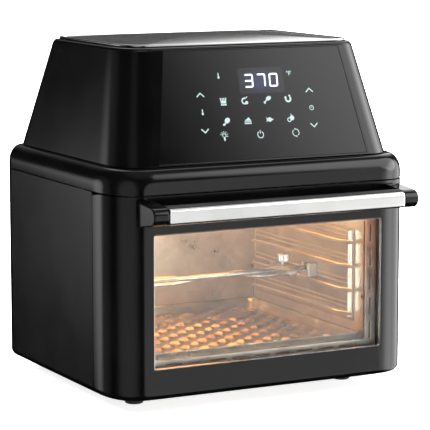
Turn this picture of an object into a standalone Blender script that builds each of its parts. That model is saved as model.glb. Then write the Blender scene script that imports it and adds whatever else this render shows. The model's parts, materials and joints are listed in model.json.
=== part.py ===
"""Countertop air fryer oven: a drop-down glass door under a tapered crown that holds the fan.

Metres, +Z up.  The origin is on the worktop, under the middle of the whole object.
-Y is the front, where the door, the handle and the control panel are.
"""
import math

import bmesh
import bpy
from mathutils import Matrix, Vector

MM = 0.001
GAP = 0.3 * MM                      # clearance kept between touching pieces

# ---- driving dimensions ------------------------------------------------------------------
BODY_HALF = 190 * MM                # half of the body's width
FRONT_Y = -142.5 * MM               # outer face of the door
BACK_Y = 187.5 * MM                 # outer face of the rear cover
FRONT_RADIUS = 47 * MM
REAR_RADIUS = 35 * MM
BODY_BOTTOM = 17 * MM               # the feet lift the body this far
SEAM_Z = 245 * MM                   # joint between the door or side panels and the shoulder
DOOR_TOP = 243.8 * MM
CHEEK_Y = -79.5 * MM                # rear edge of the door's wrapped cheeks
UNDERCUT = 8 * MM                   # rounding of the lower edge
SKIN = 3 * MM                       # thickness of the plastic shells

LEDGE_Z = 273 * MM                  # flat ledge round the crown's foot
CROWN_BASE_Z = 273.5 * MM
CROWN_TOP_Z = 400.5 * MM
CROWN_BASE = (175.3 * MM, -126.5 * MM, 171.5 * MM, 37 * MM, 25 * MM)
CROWN_TOP = (150.5 * MM, -86.5 * MM, 129 * MM, 31 * MM, 20 * MM)
PANEL_BASE_HALF = 135 * MM          # control panel, half widths at its foot and its top
PANEL_TOP_HALF = 117 * MM
PANEL_THICK = 3 * MM

HINGE_Y = -117.5 * MM               # door hinge axis, along X
HINGE_Z = 38 * MM
WINDOW_HALF = 146 * MM
WINDOW_BOTTOM = 51 * MM
WINDOW_TOP = 202 * MM

CAVITY_HALF = 142 * MM              # inside of the cooking space
CAVITY_FRONT = -107.5 * MM
CAVITY_BACK = 157 * MM
CAVITY_FLOOR = 49.2 * MM
CAVITY_ROOF = 236 * MM
SHEET = 1.2 * MM                    # steel sheet
RAIL_HEIGHTS = (80 * MM, 108 * MM, 136.5 * MM, 165 * MM)

FAN_X, FAN_Y = 0.0, 25 * MM         # fan and motor axis, along Z
LAMP_Y, LAMP_Z = 62 * MM, 204 * MM  # oven lamp on the left wall
SPIT_Y, SPIT_Z = 5 * MM, 122.5 * MM  # rotisserie axis, along X

HANDLE_Z = 227 * MM
HANDLE_FRONT = -187.5 * MM
BAR_HALF = 148 * MM
BAR_HEIGHT = 18 * MM
CAP_END = 167 * MM                  # outer ends of the handle's caps

COLOURS = {                         # name: (red, green, blue, roughness, metallic)
    "black_gloss": (0.012, 0.012, 0.013, 0.18, 0.0),
    "black_satin": (0.020, 0.020, 0.021, 0.42, 0.0),
    "panel_glass": (0.010, 0.010, 0.012, 0.06, 0.0),
    "glass": (0.55, 0.58, 0.58, 0.03, 0.0),
    "steel": (0.62, 0.61, 0.59, 0.26, 1.0),
    "liner_steel": (0.50, 0.46, 0.40, 0.35, 1.0),
    "dark_steel": (0.09, 0.09, 0.09, 0.45, 0.9),
    "rubber": (0.03, 0.03, 0.03, 0.75, 0.0),
    "ceramic": (0.80, 0.78, 0.72, 0.50, 0.0),
    "board": (0.03, 0.16, 0.07, 0.50, 0.0),
}


# ---- scene and materials -----------------------------------------------------------------
def empty_scene():
    for old in list(bpy.data.objects):
        bpy.data.objects.remove(old, do_unlink=True)


def new_collection(name):
    group = bpy.data.collections.new(name)
    bpy.context.scene.collection.children.link(group)
    return group


def material(name):
    found = bpy.data.materials.get(name)
    if found:
        return found
    red, green, blue, roughness, metallic = COLOURS[name]
    made = bpy.data.materials.new(name)
    made.use_nodes = True
    shader = made.node_tree.nodes["Principled BSDF"]
    shader.inputs["Base Color"].default_value = (red, green, blue, 1.0)
    shader.inputs["Roughness"].default_value = roughness
    shader.inputs["Metallic"].default_value = metallic
    return made


def new_object(name, mesh, colour, group=None, smooth=None):
    mesh.name = name
    thing = bpy.data.objects.new(name, mesh)
    (group or PARTS).objects.link(thing)
    if colour:
        mesh.materials.append(material(colour))
    if smooth and isinstance(mesh, bpy.types.Mesh):
        mesh.shade_smooth()
        mesh.set_sharp_from_angle(angle=math.radians(smooth))
    return thing


def mesh_of(bm, name):
    mesh = bpy.data.meshes.new(name)
    bm.to_mesh(mesh)
    bm.free()
    return mesh


# ---- modelling tools ---------------------------------------------------------------------
def box(name, low, high, colour, bevel=0.0, group=None):
    """A box between two corners, with its object at its middle."""
    size = [b - a for a, b in zip(low, high)]
    bm = bmesh.new()
    bmesh.ops.create_cube(bm, size=1.0, matrix=Matrix.Diagonal((*size, 1.0)))
    thing = new_object(name, mesh_of(bm, name), colour, group)
    thing.location = [(a + b) / 2 for a, b in zip(low, high)]
    if bevel:
        add_bevel(thing, bevel)
    return thing


def add_bevel(thing, width, segments=2, angle=40):
    rounding = thing.modifiers.new("rounding", "BEVEL")
    rounding.width = width
    rounding.segments = segments
    rounding.limit_method = "ANGLE"
    rounding.angle_limit = math.radians(angle)


def cylinder(name, start, end, radius, colour, group=None, sides=32, end_radius=None):
    """A cylinder, or a cone, from one point to another."""
    start, end = Vector(start), Vector(end)
    bm = bmesh.new()
    last_radius = radius if end_radius is None else end_radius
    bmesh.ops.create_cone(bm, cap_ends=True, segments=sides, radius1=radius,
                          radius2=last_radius, depth=(end - start).length)
    thing = new_object(name, mesh_of(bm, name), colour, group, smooth=40)
    thing.location = (start + end) / 2
    thing.rotation_mode = "QUATERNION"
    thing.rotation_quaternion = (end - start).to_track_quat("Z", "Y")
    return thing


def turned(name, profile, colour, location, steps=32, closed=False):
    """A profile of (radius, height) points turned about Z, from the top down."""
    bm = bmesh.new()
    verts = [bm.verts.new((radius, 0, height)) for radius, height in profile]
    for first, second in zip(verts, verts[1:]):
        bm.edges.new((first, second))
    if closed:
        bm.edges.new((verts[-1], verts[0]))
    thing = new_object(name, mesh_of(bm, name), colour)
    thing.location = location
    screw = thing.modifiers.new("turn", "SCREW")
    screw.steps = steps
    screw.render_steps = steps
    screw.use_merge_vertices = True
    screw.merge_threshold = 0.00001
    return thing


def flat_outline(name, outlines, thickness, colour, group=None):
    """A flat piece in the XY plane: the first outline is its edge, the others are its holes."""
    curve = bpy.data.curves.new(name, "CURVE")
    curve.dimensions = "2D"
    curve.fill_mode = "BOTH"
    curve.extrude = thickness / 2
    for outline in outlines:
        spline = curve.splines.new("POLY")
        spline.points.add(len(outline) - 1)
        spline.use_cyclic_u = True
        for point, (x, y) in zip(spline.points, outline):
            point.co = (x, y, 0, 1)
    return new_object(name, curve, colour, group)


def tube(name, points, radius, colour, cyclic=False, resolution=2):
    curve = bpy.data.curves.new(name, "CURVE")
    curve.dimensions = "3D"
    curve.bevel_depth = radius
    curve.bevel_resolution = resolution
    curve.use_fill_caps = True
    spline = curve.splines.new("POLY")
    spline.points.add(len(points) - 1)
    spline.use_cyclic_u = cyclic
    for point, place in zip(spline.points, points):
        point.co = (*place, 1)
    return new_object(name, curve, colour)


def as_mesh(thing):
    """The same object as a mesh with its loose caps welded, so that it can be cut."""
    bpy.context.view_layer.update()
    graph = bpy.context.evaluated_depsgraph_get()
    mesh = bpy.data.meshes.new_from_object(thing.evaluated_get(graph))
    bm = bmesh.new()
    bm.from_mesh(mesh)
    bmesh.ops.remove_doubles(bm, verts=bm.verts, dist=0.00001)
    bmesh.ops.recalc_face_normals(bm, faces=bm.faces)
    bm.to_mesh(mesh)
    bm.free()
    name = thing.name
    groups = list(thing.users_collection)
    matrix = thing.matrix_world.copy()
    bpy.data.objects.remove(thing, do_unlink=True)
    solid = bpy.data.objects.new(name, mesh)
    solid.matrix_world = matrix
    groups[0].objects.link(solid)
    mesh.shade_smooth()
    mesh.set_sharp_from_angle(angle=math.radians(30))
    return solid


def cut(thing, cutter, operation="DIFFERENCE"):
    """A Boolean with a hidden cutter."""
    cutter.hide_render = True
    cutter.display_type = "WIRE"
    boolean = thing.modifiers.new("cut", "BOOLEAN")
    boolean.operation = operation
    boolean.solver = "EXACT"
    boolean.object = cutter
    return boolean


def join_mesh(name, solids, group):
    """Several plain solids that don't touch as one mesh, used as one cutter."""
    bpy.context.view_layer.update()
    bm = bmesh.new()
    for solid in solids:
        piece = solid.data.copy()
        piece.transform(solid.matrix_world)
        bm.from_mesh(piece)
        bpy.data.meshes.remove(piece)
        bpy.data.objects.remove(solid, do_unlink=True)
    return new_object(name, mesh_of(bm, name), None, group)


def arc(centre, radius, start, end, steps):
    """Points round an arc, with its angles in degrees."""
    angles = [math.radians(start + (end - start) * i / steps) for i in range(steps + 1)]
    return [(centre[0] + radius * math.cos(a), centre[1] + radius * math.sin(a)) for a in angles]


def rounded_outline(half, front, back, front_radius, rear_radius, steps=8):
    """A rectangle with round corners, anticlockwise from above, the same points every time."""
    fr, rr = front_radius, rear_radius
    return (arc((half - fr, front + fr), fr, -90, 0, steps)
            + arc((half - rr, back - rr), rr, 0, 90, steps)
            + arc((rr - half, back - rr), rr, 90, 180, steps)
            + arc((fr - half, front + fr), fr, 180, 270, steps))


def inset(section, distance):
    """The rounded section moved inwards all round."""
    half, front, back, front_radius, rear_radius = section
    return (half - distance, front + distance, back - distance,
            max(front_radius - distance, 1 * MM), max(rear_radius - distance, 1 * MM))


def loft(name, rings, colour, cyclic=True, floor=False, lid=False, smooth=30):
    """An open surface between successive rings of 3D points, with a floor or a lid if asked."""
    bm = bmesh.new()
    rows = [[bm.verts.new(point) for point in ring] for ring in rings]
    for lower, upper in zip(rows, rows[1:]):
        count = len(lower)
        for i in range(count if cyclic else count - 1):
            j = (i + 1) % count
            bm.faces.new((lower[i], lower[j], upper[j], upper[i]))
    if floor:
        bm.faces.new(list(reversed(rows[0])))
    if lid:
        bm.faces.new(rows[-1])
    return new_object(name, mesh_of(bm, name), colour, smooth=smooth)


def thicken(thing, thickness):
    shell = thing.modifiers.new("wall", "SOLIDIFY")
    shell.thickness = thickness
    shell.offset = -1.0
    shell.use_even_offset = True
    return thing


def at_height(outline, z):
    return [(x, y, z) for x, y in outline]


BODY = (BODY_HALF, FRONT_Y, BACK_Y, FRONT_RADIUS, REAR_RADIUS)


# ---- lower body --------------------------------------------------------------------------
def lower_edge_profile(top):
    """(inset, height) down a body wall: straight, then round the lower edge."""
    return [(0.0, top)] + arc((UNDERCUT, BODY_BOTTOM + UNDERCUT), UNDERCUT, 180, 270, 4)


def body_path(distance, y_from, y_to):
    """The body's right-hand outline between two Y values, moved inwards by a distance."""
    half, front, back, fr, rr = inset(BODY, distance)
    path = []
    if y_from is None:
        path += [(0.0, front)] + arc((half - fr, front + fr), fr, -90, 0, 8)
    else:
        path.append((half, y_from))
    if y_to is None:
        path += arc((half - rr, back - rr), rr, 0, 90, 8) + [(148 * MM, back)]
    else:
        path.append((half, y_to))
    return path


def side_panels():
    """Left and right panels: each wraps its rear corner and turns in behind the door's cheek."""
    jamb_y = CHEEK_Y + 1.5 * MM
    for side, sign in (("left", -1), ("right", 1)):
        rings = []
        for distance, z in lower_edge_profile(SEAM_Z - 0.6 * MM):
            turn_in = [(168 * MM, jamb_y)]
            path = turn_in + body_path(distance, jamb_y, None)
            rings.append([(sign * x, y, z) for x, y in (path if sign < 0 else reversed(path))])
        panel = loft("side_panel_" + side, rings, "black_gloss", cyclic=False)
        thicken(panel, 2.5 * MM)


def rear_cover():
    """Back plate between the side panels, with two banks of vents and a hole for the cord."""
    low = (-147.2 * MM, BACK_Y - SKIN, BODY_BOTTOM + 3 * MM)
    high = (147.2 * MM, BACK_Y, SEAM_Z - 0.6 * MM)
    plate = box("rear_cover", low, high, "black_satin", bevel=0.8 * MM)
    slots = []
    for bank in (-1, 1):
        for row in range(7):
            z = (150 + 11 * row) * MM
            x = bank * 62 * MM
            slots.append(box("slot", (x - 42 * MM, BACK_Y - 9 * MM, z),
                             (x + 42 * MM, BACK_Y + 6 * MM, z + 4 * MM), None, group=CUTTERS))
    slots.append(cylinder("hole", (110 * MM, BACK_Y - 9 * MM, 52 * MM),
                          (110 * MM, BACK_Y + 9 * MM, 52 * MM), 9.3 * MM, None, CUTTERS, 24))
    cut(plate, join_mesh("rear_cover_cutter", slots, CUTTERS))


def cord_gland():
    """Bush that the mains lead would leave through."""
    gland = turned("cord_gland", [(9 * MM, 6 * MM), (9 * MM, -4 * MM), (4 * MM, -4 * MM),
                                  (4 * MM, 6 * MM)], "rubber", (0, 0, 0), 24, closed=True)
    gland.location = (110 * MM, BACK_Y - 4.2 * MM, 52 * MM)
    gland.rotation_euler = (math.radians(90), 0, 0)


def base_pan():
    """Vented bottom plate behind the door's swing."""
    half = BODY_HALF - UNDERCUT - 1.5 * MM
    jamb, tab_half, corner = 167.5 * MM, 147 * MM, REAR_RADIUS - UNDERCUT - 1.5 * MM
    right = [(jamb, -90 * MM), (jamb, -72 * MM), (half, -64 * MM)]
    right += arc((BODY_HALF - REAR_RADIUS, BACK_Y - REAR_RADIUS), corner, 0, 90, 5)
    right += [(tab_half, BACK_Y - REAR_RADIUS + corner), (tab_half, 184 * MM)]
    outline = right + [(-x, y) for x, y in reversed(right)]
    pan = as_mesh(flat_outline("base_pan", [outline], 2 * MM, "dark_steel"))
    pan.location.z = BODY_BOTTOM + 1.3 * MM
    slots = []
    for column in range(-4, 5):
        x = column * 24 * MM
        slots.append(box("slot", (x - 2.5 * MM, -30 * MM, 0), (x + 2.5 * MM, 60 * MM, 60 * MM),
                         None, group=CUTTERS))
    cut(pan, join_mesh("base_pan_cutter", slots, CUTTERS))


def feet():
    top = BODY_BOTTOM
    profile = [(0, top), (12 * MM, top), (11.6 * MM, 10 * MM), (10.4 * MM, 1.5 * MM),
               (9 * MM, 0), (0, 0)]
    for end, y in (("front", -70.5 * MM), ("rear", 150 * MM)):
        for side, x in (("left", -136 * MM), ("right", 136 * MM)):
            turned("foot_{}_{}".format(end, side), profile, "rubber", (x, y, 0), 28)


def cavity_support():
    """Open frame that carries the cooking space above the base pan."""
    low, high = BODY_BOTTOM + 2.3 * MM + GAP, CAVITY_FLOOR - SHEET - GAP
    frame = box("cavity_support", (-132 * MM, -86 * MM, low), (132 * MM, 150 * MM, high),
                "dark_steel")
    cut(frame, box("support_cutter", (-129.5 * MM, -83.5 * MM, low - 9 * MM),
                   (129.5 * MM, 147.5 * MM, high + 9 * MM), None, group=CUTTERS))


# ---- cooking space -----------------------------------------------------------------------
def cavity():
    """Floor, roof, back and side walls of the cooking space."""
    outer = CAVITY_HALF + SHEET
    box("cavity_floor", (-outer, CAVITY_FRONT, CAVITY_FLOOR - SHEET),
        (outer, CAVITY_BACK + SHEET, CAVITY_FLOOR), "liner_steel")
    low, high = CAVITY_FLOOR + GAP, CAVITY_ROOF - GAP
    for side, sign in (("left", -1), ("right", 1)):
        xs = sorted((sign * CAVITY_HALF, sign * outer))
        wall = box("cavity_wall_" + side, (xs[0], CAVITY_FRONT, low),
                   (xs[1], CAVITY_BACK - GAP, high), "liner_steel")
        if sign < 0:
            holes = [across_x("hole", SPIT_Y, SPIT_Z, 8.5 * MM),
                     across_x("hole", LAMP_Y, LAMP_Z, 20.5 * MM)]
            cut(wall, join_mesh("wall_cutter", holes, CUTTERS))
    box("cavity_back", (-CAVITY_HALF + GAP, CAVITY_BACK, low),
        (CAVITY_HALF - GAP, CAVITY_BACK + SHEET, high), "liner_steel")
    roof = box("cavity_roof", (-outer, CAVITY_FRONT, CAVITY_ROOF),
               (outer, CAVITY_BACK + SHEET, CAVITY_ROOF + SHEET), "liner_steel")
    cut(roof, cylinder("roof_cutter", (FAN_X, FAN_Y, CAVITY_ROOF - 9 * MM),
                       (FAN_X, FAN_Y, CAVITY_ROOF + 9 * MM), 92 * MM, None, CUTTERS, 48))


def across_x(name, y, z, radius):
    """A cutter along X through the left cavity wall."""
    return cylinder(name, (-CAVITY_HALF - 9 * MM, y, z), (-CAVITY_HALF + 9 * MM, y, z),
                    radius, None, CUTTERS, 28)


def front_frame():
    """Steel face round the mouth of the cooking space."""
    outer = rounded_outline(162.5 * MM, 42 * MM, 242 * MM, 3 * MM, 3 * MM, 2)
    mouth = rounded_outline(CAVITY_HALF - 0.5 * MM, 50.5 * MM, 222 * MM, 6 * MM, 6 * MM, 4)
    frame = flat_outline("front_frame", [outer, mouth], SHEET, "dark_steel")
    frame.rotation_euler = (math.radians(90), 0, 0)
    frame.location.y = CAVITY_FRONT - GAP - SHEET / 2


def rack_ladders():
    """A pressed sheet on each wall, with four folded rails that carry racks or baskets."""
    wall = CAVITY_HALF - GAP
    face = wall - SHEET
    tip = wall - 13 * MM
    section = [(wall, RAIL_HEIGHTS[0] - 8 * MM), (wall, RAIL_HEIGHTS[-1] + 17 * MM),
               (face, RAIL_HEIGHTS[-1] + 17 * MM)]
    for z in reversed(RAIL_HEIGHTS):
        section += [(face, z + 1.4 * MM), (tip + 1.2 * MM, z + 0.4 * MM),
                    (tip + 1.2 * MM, z + 3.2 * MM), (tip, z + 3.2 * MM),
                    (tip, z - 1 * MM), (face, z)]
    section.append((face, RAIL_HEIGHTS[0] - 8 * MM))
    for side, sign in (("left", -1), ("right", 1)):
        outline = [(sign * x, z) for x, z in section]
        ladder = flat_outline("rack_ladder_" + side, [outline], 238 * MM, "steel")
        ladder.rotation_euler = (math.radians(90), 0, 0)
        ladder.location.y = 31 * MM
        if sign < 0:
            cut(as_mesh(ladder), across_x("ladder_cutter", SPIT_Y, SPIT_Z, 10 * MM))


def drip_tray():
    """Shallow pan on the cavity floor, with a turned-out rim."""
    floor_z = CAVITY_FLOOR + GAP
    levels = [(132 * MM, -97 * MM, 149 * MM, floor_z),
              (137 * MM, -102 * MM, 154 * MM, floor_z + 11 * MM),
              (141 * MM, -105.5 * MM, 156 * MM, floor_z + 11.5 * MM)]
    rings = [at_height(rounded_outline(half, front, back, 8 * MM, 8 * MM, 3), z)
             for half, front, back, z in levels]
    thicken(loft("drip_tray", rings, "liner_steel", floor=True), 0.9 * MM)


# ---- fan, heater and lamp ----------------------------------------------------------------
def fan_chamber():
    """Pan above the cavity roof that holds the heater and the fan, with its guard below."""
    low = CAVITY_ROOF + SHEET + GAP
    profile = [(98 * MM, low + 33 * MM), (98 * MM, low + 0.0), (96.8 * MM, low + 0.0),
               (96.8 * MM, low + 31.8 * MM), (6 * MM, low + 31.8 * MM), (6 * MM, low + 33 * MM)]
    turned("fan_housing", profile, "liner_steel", (FAN_X, FAN_Y, 0), 48, closed=True)
    guard = cylinder("fan_guard", (FAN_X, FAN_Y, CAVITY_ROOF - 2.2 * MM),
                     (FAN_X, FAN_Y, CAVITY_ROOF - GAP), 99 * MM, "steel", sides=48)
    slots = []
    for index in range(12):
        angle = math.radians(30 * index + 15)
        for inner, outer, half in ((26, 52, 4.5), (58, 88, 7.5)):
            slot = box("slot", (inner * MM, -half * MM, -9 * MM), (outer * MM, half * MM, 9 * MM),
                       None, group=CUTTERS)
            turn = Matrix.Translation((FAN_X, FAN_Y, CAVITY_ROOF)) @ Matrix.Rotation(angle, 4, "Z")
            slot.matrix_world = turn @ Matrix.Translation(slot.location)
            slots.append(slot)
    cut(guard, join_mesh("guard_cutter", slots, CUTTERS))


def heating_element():
    """Two-turn tubular element under the fan."""
    points = []
    steps = 44
    for i in range(steps + 1):
        part = i / steps
        angle = math.radians(-90 + 660 * part)
        radius = (84 - 36 * part) * MM
        points.append((FAN_X + radius * math.cos(angle), FAN_Y + radius * math.sin(angle),
                       CAVITY_ROOF + 9 * MM))
    tube("heating_element", points, 3.2 * MM, "dark_steel")


def fan_blades(name, hub_radius, blade_radius, low, high, count, colour):
    """A hub with straight radial blades, bored for its shaft."""
    hub = cylinder(name, (FAN_X, FAN_Y, low), (FAN_X, FAN_Y, high), hub_radius, colour, sides=24)
    bm = bmesh.new()
    for index in range(count):
        angle = math.radians(360 / count * index)
        size = Matrix.Diagonal((blade_radius - hub_radius + 2 * MM, 1.6 * MM, high - low - 1 * MM, 1))
        middle = Matrix.Translation(((blade_radius + hub_radius - 2 * MM) / 2, 0, 0))
        bmesh.ops.create_cube(bm, size=1.0, matrix=Matrix.Rotation(angle, 4, "Z") @ middle @ size)
    blades = new_object(name + "_blades", mesh_of(bm, name), None, CUTTERS)
    blades.location = (FAN_X, FAN_Y, (low + high) / 2)
    cut(hub, blades, "UNION")
    cut(hub, cylinder(name + "_bore", (FAN_X, FAN_Y, low - 5 * MM), (FAN_X, FAN_Y, high + 5 * MM),
                      3.3 * MM, None, CUTTERS, 24))


def fan_drive():
    """Motor on its bridge, one shaft through it, and a fan at each end of the shaft."""
    deck_top = 273.9 * MM
    bridge = box("motor_bracket", (-46 * MM, FAN_Y - 14 * MM, deck_top + GAP),
                 (46 * MM, FAN_Y + 14 * MM, 290 * MM), "dark_steel")
    cut(bridge, box("bridge_cutter", (-38 * MM, FAN_Y - 20 * MM, deck_top - 5 * MM),
                    (38 * MM, FAN_Y + 20 * MM, 288 * MM), None, group=CUTTERS))
    cut(bridge, cylinder("bridge_bore", (FAN_X, FAN_Y, 280 * MM), (FAN_X, FAN_Y, 300 * MM),
                         6 * MM, None, CUTTERS, 24))
    turned("fan_motor", [(29 * MM, 322 * MM), (30 * MM, 321 * MM), (30 * MM, 291.3 * MM),
                         (29 * MM, 290.3 * MM), (3.4 * MM, 290.3 * MM), (3.4 * MM, 322 * MM)],
           "steel", (FAN_X, FAN_Y, 0), 32, closed=True)
    cylinder("motor_shaft", (FAN_X, FAN_Y, 249 * MM), (FAN_X, FAN_Y, 345 * MM), 3 * MM, "steel",
             sides=24)
    fan_blades("convection_fan", 10 * MM, 70 * MM, 251 * MM, 263 * MM, 6, "steel")
    fan_blades("cooling_fan", 9 * MM, 42 * MM, 328 * MM, 341 * MM, 7, "black_satin")


def lamp():
    """Oven lamp on the left wall, behind a glass lens."""
    wall = -CAVITY_HALF
    cylinder("lamp_holder", (wall - 24 * MM, LAMP_Y, LAMP_Z),
             (wall - SHEET - GAP, LAMP_Y, LAMP_Z), 19 * MM, "ceramic", sides=28)
    cylinder("lamp_lens", (wall - SHEET, LAMP_Y, LAMP_Z), (wall + 3.5 * MM, LAMP_Y, LAMP_Z),
             20 * MM, "glass", sides=28, end_radius=17 * MM)


# ---- rotisserie --------------------------------------------------------------------------
def rotisserie():
    """Gear motor, drive socket, spit with its two forks and their screws, and the far rest."""
    wall = -CAVITY_HALF - SHEET
    motor = box("rotisserie_motor", (wall - 26 * MM, SPIT_Y - 25 * MM, SPIT_Z - 25 * MM),
                (wall - GAP, SPIT_Y + 25 * MM, SPIT_Z + 25 * MM), "steel", bevel=2 * MM)
    cut(motor, cylinder("motor_recess", (wall - 12 * MM, SPIT_Y, SPIT_Z),
                        (wall + 12 * MM, SPIT_Y, SPIT_Z), 8.5 * MM, None, CUTTERS, 28))
    socket = cylinder("drive_socket", (wall - 11 * MM, SPIT_Y, SPIT_Z),
                      (-126 * MM, SPIT_Y, SPIT_Z), 7 * MM, "dark_steel")
    cut(socket, cylinder("socket_bore", (-138 * MM, SPIT_Y, SPIT_Z), (-120 * MM, SPIT_Y, SPIT_Z),
                         3.5 * MM, None, CUTTERS, 24))
    cylinder("spit_rod", (-137.5 * MM, SPIT_Y, SPIT_Z), (139 * MM, SPIT_Y, SPIT_Z), 3.2 * MM,
             "steel", sides=24)
    for side, sign in (("left", -1), ("right", 1)):
        fork(side, sign)
    rest = box("spit_rest", (129 * MM, SPIT_Y - 9 * MM, SPIT_Z - 10 * MM),
               (CAVITY_HALF - 2 * GAP - SHEET, SPIT_Y + 9 * MM, SPIT_Z + 6 * MM), "steel",
               bevel=0.6 * MM)
    cut(rest, box("rest_notch", (120 * MM, SPIT_Y - 3.8 * MM, SPIT_Z - 3.8 * MM),
                  (150 * MM, SPIT_Y + 3.8 * MM, SPIT_Z + 20 * MM), None, group=CUTTERS))


def fork(side, sign):
    """A hub on the rod with two tines, locked by a thumb screw."""
    x = sign * 98 * MM
    hub = box("fork_" + side, (x - 5 * MM, SPIT_Y - 26 * MM, SPIT_Z - 6.5 * MM),
              (x + 5 * MM, SPIT_Y + 26 * MM, SPIT_Z + 6.5 * MM), "steel", bevel=1 * MM)
    tines = []
    for offset in (-20 * MM, 20 * MM):
        tines.append(cylinder("tine", (x, SPIT_Y + offset, SPIT_Z),
                              (x - sign * 62 * MM, SPIT_Y + offset, SPIT_Z), 2.6 * MM, None,
                              CUTTERS, 12, end_radius=0.6 * MM))
    cut(hub, join_mesh("tines_" + side, tines, CUTTERS), "UNION")
    cut(hub, cylinder("fork_bore", (x - 20 * MM, SPIT_Y, SPIT_Z), (x + 20 * MM, SPIT_Y, SPIT_Z),
                      3.5 * MM, None, CUTTERS, 24))
    turned("thumb_screw_" + side,
           [(0, 20 * MM), (7 * MM, 20 * MM), (7.5 * MM, 18.5 * MM), (7.5 * MM, 11 * MM),
            (6.5 * MM, 9.8 * MM), (3.2 * MM, 9.8 * MM), (3.2 * MM, 6.9 * MM), (0, 6.9 * MM)],
           "steel", (x, SPIT_Y, SPIT_Z), 24)


# ---- shoulder and crown ------------------------------------------------------------------
def shoulder_ring():
    """Rounded shoulder between the body and the crown, with a flange under the crown."""
    rings = [at_height(rounded_outline(*inset(BODY, 9 * MM)), SEAM_Z),
             at_height(rounded_outline(*BODY), SEAM_Z)]
    width, height = 13.5 * MM, 21 * MM
    for angle in (0, 18, 36, 54, 72, 90):
        turn = math.radians(angle)
        distance = width * (1 - math.cos(turn))
        z = LEDGE_Z - height + height * math.sin(turn)
        rings.append(at_height(rounded_outline(*inset(BODY, distance)), z))
    rings.append(at_height(rounded_outline(*inset(BODY, 24 * MM)), LEDGE_Z))
    thicken(loft("shoulder_ring", rings, "black_gloss"), SKIN)


def deck_plate():
    """Insulating deck between the cooking space and the crown's motor space."""
    outline = rounded_outline(163 * MM, -113 * MM, 160 * MM, 26 * MM, 14 * MM, 5)
    motor_hole = arc((FAN_X, FAN_Y), 24 * MM, 0, 352.5, 47)
    deck = flat_outline("deck_plate", [outline, motor_hole], SHEET, "dark_steel")
    deck.location.z = 271.4 * MM + SHEET / 2


def crown_section(z):
    """The crown's rounded section at a height: its walls are straight between base and top."""
    part = (z - CROWN_BASE_Z) / (CROWN_TOP_Z - CROWN_BASE_Z)
    return tuple(a + (b - a) * part for a, b in zip(CROWN_BASE, CROWN_TOP))


def panel_matrix():
    """Frame of the crown's sloping front: X right, Y up the slope, Z out of the face."""
    run = CROWN_TOP[1] - CROWN_BASE[1]
    rise = CROWN_TOP_Z - CROWN_BASE_Z
    tilt = math.radians(90) - math.atan2(run, rise)
    return Matrix.Translation((0, CROWN_BASE[1], CROWN_BASE_Z)) @ Matrix.Rotation(tilt, 4, "X")


def panel_outline(margin=0.0):
    slope = math.hypot(CROWN_TOP[1] - CROWN_BASE[1], CROWN_TOP_Z - CROWN_BASE_Z)
    low, high = 2.6 * MM - margin, slope - 4.5 * MM + margin
    base, top = PANEL_BASE_HALF + margin, PANEL_TOP_HALF + margin
    return [(-base, low), (base, low), (top, high), (-top, high)]


def crown_shell():
    """Tapered hood with the control panel's opening in front and vents behind."""
    below_top = CROWN_TOP_Z - 3 * MM
    rings = [at_height(rounded_outline(*inset(CROWN_BASE, 8 * MM)), CROWN_BASE_Z),
             at_height(rounded_outline(*CROWN_BASE), CROWN_BASE_Z),
             at_height(rounded_outline(*crown_section(below_top)), below_top)]
    for distance, drop in ((0.9 * MM, 0.9 * MM), (3 * MM, 0.0), (22 * MM, 0.0)):
        rings.append(at_height(rounded_outline(*inset(CROWN_TOP, distance)), CROWN_TOP_Z - drop))
    shell = thicken(loft("crown_shell", rings, "black_gloss"), SKIN)
    opening = flat_outline("panel_cutter", [panel_outline(0.4 * MM)], 20 * MM, None, CUTTERS)
    opening.matrix_world = panel_matrix()
    cut(shell, as_mesh(opening))
    slots = []
    for column in range(9):
        x = (-64 + 16 * column) * MM
        slots.append(box("slot", (x - 2 * MM, 110 * MM, 305 * MM), (x + 2 * MM, 190 * MM, 350 * MM),
                         None, group=CUTTERS))
    cut(shell, join_mesh("crown_vent_cutter", slots, CUTTERS))


def control_panel():
    """Glossy touch panel in the crown's front, with the display's board behind it."""
    panel = as_mesh(flat_outline("control_panel", [panel_outline()], PANEL_THICK, "panel_glass"))
    panel.matrix_world = panel_matrix() @ Matrix.Translation((0, 0, -PANEL_THICK / 2))
    add_bevel(panel, 0.5 * MM, 1)
    board = box("display_board", (-95 * MM, 14 * MM, -10 * MM), (95 * MM, 98 * MM, 0), "board")
    board.matrix_world = (panel_matrix()
                          @ Matrix.Translation((0, 56 * MM, -PANEL_THICK - GAP - 4 * MM))
                          @ Matrix.Diagonal((1, 1, 0.8, 1)))


def power_board():
    """Relay and supply board on the deck, left of the motor."""
    box("power_board", (-140 * MM, -40 * MM, 273.2 * MM), (-62 * MM, 110 * MM, 283 * MM),
        "board", bevel=0.8 * MM)


def top_plate():
    """Polished plate with a shallow dome, inside a bright rim."""
    rings = []
    for distance, z in ((10.5, 400.9), (11, 402.4), (12.5, 403.0), (22, 404.0), (42, 405.6),
                        (66, 406.9)):
        section = inset(CROWN_TOP, distance * MM)
        rings.append(at_height(rounded_outline(*section), z * MM))
    half, front, back = 55 * MM, -20 * MM, 62 * MM
    rings.append(at_height(rounded_outline(half, front, back, 12 * MM, 8 * MM), 407.6 * MM))
    thicken(loft("top_plate", rings, "steel", lid=True), SHEET)
    path = at_height(rounded_outline(*inset(CROWN_TOP, 8.2 * MM)), 402.4 * MM)
    tube("top_rim", path, 1.6 * MM, "steel", cyclic=True)


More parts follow.
